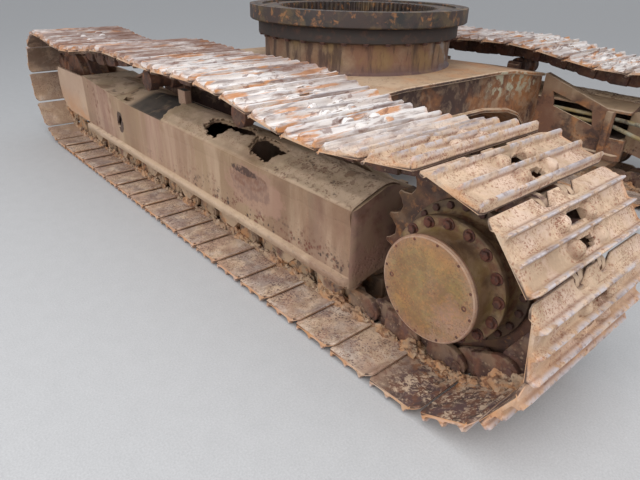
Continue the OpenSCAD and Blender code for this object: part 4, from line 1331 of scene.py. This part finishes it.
def roof_holes(side):
    """The holes in a track frame's roof: the port on both sides, the breaks on the left one."""
    breaks = [ragged(o, 0.013, 3.0) for o in ROOF_BREAKS] if side > 0 else []
    port = [(x, side * y) for x, y in ROOF_PORT]
    return [[(x, side * sizes().gauge / 2 + y) for x, y in o] for o in breaks + [port]]


class UNDERCARRIAGE_OT_plates(bpy.types.Operator):
    """Rounds the plate edges of the welded and cast pieces and gives every CAD node its finish"""

    bl_idname = "undercarriage.plates"
    bl_label = "Plates and Castings"

    def execute(self, context):
        for stem, tone, width, paired in ROUNDED:
            for node, side in nodes_of(stem, paired):
                is_frame = stem == "track_frame"
                holes = roof_holes(side) if is_frame else ()
                mesh = eased(node, sizes().edge * width, holes, frame_shoulder if is_frame else None)
                add_piece(f"{node}_plates", mesh, finish(tone), replaces=(node,))
        for stem, tone, paired in KEPT:
            for node, _ in nodes_of(stem, paired):
                data = frame["nodes"][node].data
                data.materials.clear()
                data.materials.append(finish(tone))
        return {"FINISHED"}


RIDGE_FLAT = 0.018  # half width of the flat along the roof's ridge
SHOULDER_BEND = 0.022  # radius of the plate's bend at the shoulder


def roof_section(way):
    """A point of the frame's roof and side and its outward direction, by the way along them from the ridge line.

    The shoulder is an arc of the plate's bend. Both results are pairs of the distance out and the height.
    """
    s = sizes()
    half = s.frame_width / 2
    drop = s.frame_top - s.frame_ridge
    fall = math.atan2(drop, half - RIDGE_FLAT)
    slope = math.hypot(half - RIDGE_FLAT, drop) - SHOULDER_BEND * math.tan((math.pi / 2 - fall) / 2)
    sign = -1 if way < 0 else 1
    down = abs(way) - RIDGE_FLAT
    if down < 0:
        return (way, s.frame_top), (0.0, 1.0)
    if down < slope:
        place = (sign * (RIDGE_FLAT + down * math.cos(fall)), s.frame_top - down * math.sin(fall))
        return place, (sign * math.sin(fall), math.cos(fall))
    centre_out = RIDGE_FLAT + slope * math.cos(fall) - SHOULDER_BEND * math.sin(fall)
    centre_up = s.frame_top - slope * math.sin(fall) - SHOULDER_BEND * math.cos(fall)
    angle = fall + (down - slope) / SHOULDER_BEND
    if angle < math.pi / 2:
        out, up = math.sin(angle), math.cos(angle)
        return (centre_out + SHOULDER_BEND * out, centre_up + SHOULDER_BEND * up), (out, up)
    return (half, centre_up - SHOULDER_BEND * (angle - math.pi / 2)), (1.0, 0.0)


CRUST_GRID = (320, 52)
CRUST_FRONT = 0.20
CRUST_INBOARD, CRUST_CALM, CRUST_THIN, CRUST_OUTBOARD = -0.075, 0.115, 0.185, 0.245  # ways along the roof's section
CRUST_RIM = 0.010  # width of the rim where the crust thins out
CRUST_EVEN = 0.0042  # thickness over the shoulder
CRUST_SKIN = 0.0006
MUDDY_REAR = -0.85  # behind it the crust is lumpier


def rough(here, *waves):
    """A sum of noises at a place, from pairs of strength and scale."""
    return sum(strength * noise.noise(here * scale) for strength, scale in waves)


def share(value, start, reach):
    """How much of its reach a value has gone through, from 0 to 1."""
    return min(1.0, max(0.0, (value - start) / reach))


def crust_margin(x, way, off, here, rear, breaks):
    """How far inside the crust's broken edges a place lies, negative outside them."""
    front = 0.125 + rough(here, (0.045, 9), (0.012, 60)) - 0.25 * (off - 0.1)
    margin = min(front - x, way - CRUST_INBOARD - 0.012 + rough(here, (0.020, 8)), x - rear)
    torn = 0.003 + rough(here, (0.020, 36), (0.009, 110))
    return min([margin] + [distance_out(outline, x, off) + torn for outline in breaks])


def crust_depth(x, way, here, margin):
    """The crust's thickness: lumpy on the roof, even over the shoulder, and a skin where it ends outboard."""
    thick = 0.009 + rough(here, (0.007, 5), (0.003, 24), (0.0012, 90))
    if x < MUDDY_REAR:
        thick += 0.003 * max(0.0, noise.noise(here * 13))
    thick = max(0.004, thick) * share(margin, 0, CRUST_RIM) ** 0.5
    if margin > CRUST_RIM:
        thick += share(way, CRUST_CALM, 0.03) * (CRUST_EVEN - thick)
    fade = share(way, CRUST_THIN, 0.05)
    return thick * (1 - fade) + CRUST_SKIN * fade


class UNDERCARRIAGE_OT_crust(bpy.types.Operator):
    """Lays the broken mud crust on the frames' sloped roofs and over their shoulders"""

    bl_idname = "undercarriage.crust"
    bl_label = "Mud Crust"

    def execute(self, context):
        s = sizes()
        rear = chain_layout()["frame_rear"] + 0.004
        for name, side in SIDES:
            bm = bmesh.new()
            rim = bm.verts.layers.float.new("rim")
            bmesh.ops.create_grid(bm, x_segments=CRUST_GRID[0], y_segments=CRUST_GRID[1], size=1.0)
            shift = Vector((side * 3.1, side * 9.4, 0))
            breaks = ROOF_BREAKS if side > 0 else []
            gone = []
            for vert in bm.verts:
                x = rear + (CRUST_FRONT - rear) * (vert.co.x + 1) / 2
                way = CRUST_INBOARD + (CRUST_OUTBOARD - CRUST_INBOARD) * (vert.co.y + 1) / 2
                (off, height), (out, up) = roof_section(way)
                here = Vector((x, way, 0)) + shift
                margin = crust_margin(x, way, off, here, rear, breaks)
                vert[rim] = max(0.0, 1 - margin / CRUST_RIM)
                margin = min(margin, CRUST_OUTBOARD - 0.010 + rough(here, (0.010, 14)) - way)
                thick = crust_depth(x, way, here, margin)
                vert.co = (x, side * (s.gauge / 2 + off + thick * out), height + thick * up)
                if margin <= 0:
                    gone.append(vert)
            bmesh.ops.delete(bm, geom=gone, context="VERTS")
            if side < 0:
                bmesh.ops.reverse_faces(bm, faces=bm.faces)
            bmesh.ops.recalc_face_normals(bm, faces=bm.faces)
            bmesh.ops.solidify(bm, geom=bm.faces[:], thickness=0.005)
            add_piece(f"mud_crust_{name}", bm, finish("crust"))
        return {"FINISHED"}


def distance_out(outline, x, y):
    """How far a point lies outside an outline, negative inside it."""
    inside = False
    nearest = 1.0
    at = Vector((x, y))
    for a, b in zip(outline, outline[1:] + outline[:1]):
        a, b = Vector(a), Vector(b)
        span = b - a
        t = min(1, max(0, (at - a).dot(span) / span.length_squared))
        nearest = min(nearest, (at - (a + span * t)).length)
        if (a.y > y) != (b.y > y) and x < (b.x - a.x) * (y - a.y) / (b.y - a.y) + a.x:
            inside = not inside
    return -nearest if inside else nearest


# Travel hoses: place of the port, its height, and the angle where the hose meets the motor, in degrees
HOSE_ROWS = [(-0.640, 0.440, 15), (-0.560, 0.400, -12)]
HOSE_RADIUS = 0.012
HOSE_BEND = 0.040  # radius of the bend out of the port, which is also how far off the wall the hose runs
HOSE_TURN = 0.180  # from the frame's rear end to where the hose leaves the wall
HOSE_STUB = 0.060  # straight end at the motor
MOTOR_RADIUS = 0.1123
MOTOR_ACROSS = -0.210  # the motor's ports, from the track's middle


def hose_line(row, layout, side):
    """The middle line of a hose: round out of its port, back along the wall, then over to the motor."""
    port_x, port_z, degrees = row
    angle = math.radians(degrees)
    wall = -sizes().frame_width / 2
    radial = Vector((math.cos(angle), 0, math.sin(angle)))
    end = Vector((-layout["half"], MOTOR_ACROSS, layout["axle"])) + MOTOR_RADIUS * radial
    stub = end + HOSE_STUB * radial
    turn_x = layout["frame_rear"] + HOSE_TURN
    line = [Vector((port_x, wall + 0.001, port_z))]
    for step in range(1, 9):
        a = math.radians(step * 11.25)
        line.append(Vector((port_x - HOSE_BEND * (1 - math.cos(a)), wall + HOSE_BEND * math.sin(a), port_z)))
    for step in range(25):
        t = step / 24
        ease = (1 - math.cos(math.pi * t)) / 2
        y = wall + HOSE_BEND + (end.y - wall - HOSE_BEND) * ease
        line.append(Vector((turn_x + (stub.x - turn_x) * t, y, port_z + (stub.z - port_z) * ease)))
    line.append(end)
    middle = side * sizes().gauge / 2
    return [Vector((p.x, middle + side * p.y, p.z)) for p in line]


def swept_tube(line, radius, sides):
    """A closed round tube along a line, without twist."""
    bm = bmesh.new()
    normal = None
    rings = []
    for i, at in enumerate(line):
        ahead = (line[min(i + 1, len(line) - 1)] - line[max(i - 1, 0)]).normalized()
        normal = ahead.orthogonal() if normal is None else normal - ahead * normal.dot(ahead)
        normal.normalize()
        other = ahead.cross(normal)
        turns = [math.tau * k / sides for k in range(sides)]
        rings.append([bm.verts.new(at + radius * (math.cos(a) * normal + math.sin(a) * other)) for a in turns])
    for a, b in zip(rings, rings[1:]):
        for k in range(sides):
            bm.faces.new((a[k], a[(k + 1) % sides], b[(k + 1) % sides], b[k]))
    bm.faces.new(rings[0][::-1])
    bm.faces.new(rings[-1])
    bmesh.ops.recalc_face_normals(bm, faces=bm.faces)
    return bm


class UNDERCARRIAGE_OT_hoses(bpy.types.Operator):
    """Builds the travel hoses from the ports in the frames' walls to the travel motors"""

    bl_idname = "undercarriage.hoses"
    bl_label = "Travel Hoses"

    def execute(self, context):
        layout = chain_layout()
        for name, side in SIDES:
            for row, word in zip(HOSE_ROWS, ("upper", "lower")):
                line = hose_line(row, layout, side)
                hose = add_piece(
                    f"travel_hose_{word}_{name}", swept_tube(line, HOSE_RADIUS, 20), finish("hose"),
                    replaces=(f"travel_hoses_{name}",),
                )
                total = sum((b - a).length for a, b in zip(line, line[1:]))
                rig.cord(
                    hose, exit=line[0], length=total, diameter=2 * HOSE_RADIUS, far_end="object", stiffness="stiff",
                    lay="hanging", path=line,
                )
        return {"FINISHED"}


# Bolts under the pedestal's flange: count, radius of their circle and height
FLANGE_BOLTS = (32, 0.5725, 0.8622)
# Grease nipples inside the bearing: degrees, radius and height
NIPPLES = ((35, 155, 275), 0.5005, 1.0025)


class UNDERCARRIAGE_OT_bearing(bpy.types.Operator):
    """Builds the bolts under the pedestal's flange and the bearing's grease nipples"""

    bl_idname = "undercarriage.bearing"
    bl_label = "Bearing Bolts"

    def execute(self, context):
        head = as_mesh(hex_head(0.016, 0.014, 0.021))
        bm = bmesh.new()
        count, radius, height = FLANGE_BOLTS
        for i in range(count):
            a = math.tau * (i + 0.5) / count
            place = Matrix.Translation((radius * math.cos(a), radius * math.sin(a), height))
            add_copy(bm, head, place @ Matrix.Rotation(-math.pi / 2, 4, "X"))
        add_piece("pedestal_bolts", bm, finish("bolt"))
        neck = [(0, 0), (0, 0.006), (0.003, 0.006), (0.003, 0.004)]
        ball = [(0.006, 0.003), (0.008, 0.004), (0.010, 0.002), (0.010, 0)]
        nipple = as_mesh(turned(neck + ball, 12))
        bm = bmesh.new()
        places, radius, height = NIPPLES
        upright = Matrix.Translation((radius, 0, height)) @ Matrix.Rotation(math.pi / 2, 4, "X")
        for degrees in places:
            add_copy(bm, nipple, Matrix.Rotation(math.radians(degrees), 4, "Z") @ upright)
        add_piece("grease_nipples", bm, finish("bolt"))
        return {"FINISHED"}


# Lamps: name, place, what it looks at, watts and size
LAMPS = (
    ("sky_light", (-2.5, 3.5, 5.5), (0, 0.6, 0.3), 230, 5.0),
    ("rear_light", (-6.0, 1.0, 2.6), (-0.8, 0.8, 0.4), 70, 4.0),
    ("left_light", (-0.4, 6.5, 1.9), (-0.4, 1.1, 0.4), 115, 4.5),
)
SKY_LIGHT = ((0.93, 0.96, 1.0, 1), 0.62)
SKY_SEEN = ((0.80, 0.82, 0.84, 1), 1.0)
LENS = 29.126
CAMERA_TURN = (-40.992, -27.696, 1.261)  # yaw, pitch and roll in degrees
CAMERA_FROM_DRIVE = (-0.7296, 2.3557, 1.1975)


def add_floor(scene):
    bm = bmesh.new()
    bmesh.ops.create_grid(bm, x_segments=1, y_segments=1, size=40)
    mesh = as_mesh(bm, "floor")
    mesh.materials.append(Finish("pale_concrete", "concrete", 0.9, 0.0002, (0.97, 1.02)).done())
    floor = bpy.data.objects.new("floor", mesh)
    scene.collection.objects.link(floor)
    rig.stage(floor)


def add_sky(scene):
    """A sky with one tone for its light, and another for what the camera sees and what shines or lets through."""
    world = bpy.data.worlds.new("soft_sky")
    scene.world = world
    world.use_nodes = True
    nodes, links = world.node_tree.nodes, world.node_tree.links
    light, seen = nodes["Background"], nodes.new("ShaderNodeBackground")
    for node, (tone, strength) in ((light, SKY_LIGHT), (seen, SKY_SEEN)):
        node.inputs["Color"].default_value = tone
        node.inputs["Strength"].default_value = strength
    path = nodes.new("ShaderNodeLightPath")
    shown = path.outputs["Is Camera Ray"]
    for ray in ("Is Glossy Ray", "Is Transmission Ray"):
        either = nodes.new("ShaderNodeMath")
        either.operation = "MAXIMUM"
        links.new(shown, either.inputs[0])
        links.new(path.outputs[ray], either.inputs[1])
        shown = either.outputs[0]
    both = nodes.new("ShaderNodeMixShader")
    for i, output in enumerate((shown, light.outputs[0], seen.outputs[0])):
        links.new(output, both.inputs[i])
    links.new(both.outputs[0], nodes["World Output"].inputs["Surface"])


def add_lamps(scene):
    for name, at, to, power, size in LAMPS:
        data = bpy.data.lights.new(name, "AREA")
        data.shape = "DISK"
        data.size = size
        data.energy = power
        lamp = bpy.data.objects.new(name, data)
        lamp.location = at
        lamp.rotation_euler = (Vector(to) - Vector(at)).to_track_quat("-Z", "Y").to_euler()
        scene.collection.objects.link(lamp)


def add_camera(scene):
    camera = bpy.data.cameras.new("camera")
    camera.lens = LENS
    camera.sensor_width = 36
    camera.clip_end = 200
    eye = bpy.data.objects.new("camera", camera)
    eye.matrix_world = camera_place()
    scene.collection.objects.link(eye)
    scene.camera = eye
    scene.view_settings.view_transform = "Standard"


class UNDERCARRIAGE_OT_studio(bpy.types.Operator):
    """Sets up the floor, the soft light and the camera"""

    bl_idname = "undercarriage.studio"
    bl_label = "Floor, Light and Camera"

    def execute(self, context):
        for add in (add_floor, add_sky, add_lamps, add_camera):
            add(context.scene)
        return {"FINISHED"}


def camera_place():
    """The photograph's viewpoint, behind and left of the left drive."""
    yaw, pitch, roll = (math.radians(a) for a in CAMERA_TURN)
    front = Vector((math.cos(yaw) * math.cos(pitch), math.sin(yaw) * math.cos(pitch), math.sin(pitch)))
    level = Vector((math.sin(yaw), -math.cos(yaw), 0))
    top = level.cross(front)
    right = math.cos(roll) * level + math.sin(roll) * top
    up = -math.sin(roll) * level + math.cos(roll) * top
    place = Matrix((right, up, -front)).transposed().to_4x4()
    behind, left, up = CAMERA_FROM_DRIVE
    place.translation = (behind - chain_layout()["half"], left, up)
    return place


class UNDERCARRIAGE_PT_panel(bpy.types.Panel):
    bl_label = "Crawler Undercarriage"
    bl_idname = "UNDERCARRIAGE_PT_panel"
    bl_space_type = "VIEW_3D"
    bl_region_type = "UI"
    bl_category = "Undercarriage"

    def draw(self, context):
        layout = self.layout
        for group in (context.scene.undercarriage_sizes, context.scene.undercarriage_colours):
            column = layout.column(align=True)
            for key in group.__annotations__:
                column.prop(group, key)
        for operator in OPERATORS:
            layout.operator(operator.bl_idname)


OPERATORS = (
    UNDERCARRIAGE_OT_studio,
    UNDERCARRIAGE_OT_shoes,
    UNDERCARRIAGE_OT_links,
    UNDERCARRIAGE_OT_caked_mud,
    UNDERCARRIAGE_OT_drive,
    UNDERCARRIAGE_OT_plates,
    UNDERCARRIAGE_OT_crust,
    UNDERCARRIAGE_OT_hoses,
    UNDERCARRIAGE_OT_bearing,
)
CLASSES = (UndercarriageSizes, UndercarriageColours, *OPERATORS, UNDERCARRIAGE_PT_panel)


def register():
    for item in CLASSES:
        bpy.utils.register_class(item)
    bpy.types.Scene.undercarriage_sizes = PointerProperty(type=UndercarriageSizes)
    bpy.types.Scene.undercarriage_colours = PointerProperty(type=UndercarriageColours)


def unregister():
    del bpy.types.Scene.undercarriage_colours
    del bpy.types.Scene.undercarriage_sizes
    for item in reversed(CLASSES):
        bpy.utils.unregister_class(item)


def main():
    register()
    bpy.ops.undercarriage.studio()
    bpy.ops.undercarriage.shoes()
    bpy.ops.undercarriage.links()
    bpy.ops.undercarriage.caked_mud()
    bpy.ops.undercarriage.drive()
    bpy.ops.undercarriage.plates()
    bpy.ops.undercarriage.crust()
    bpy.ops.undercarriage.hoses()
    bpy.ops.undercarriage.bearing()
    with open("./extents.json", "w") as file:
        json.dump({"cad": [list(c) for c in CAD_BOX], "visual": [list(c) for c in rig.bounds()]}, file)


if __name__ == "__main__":
    main()
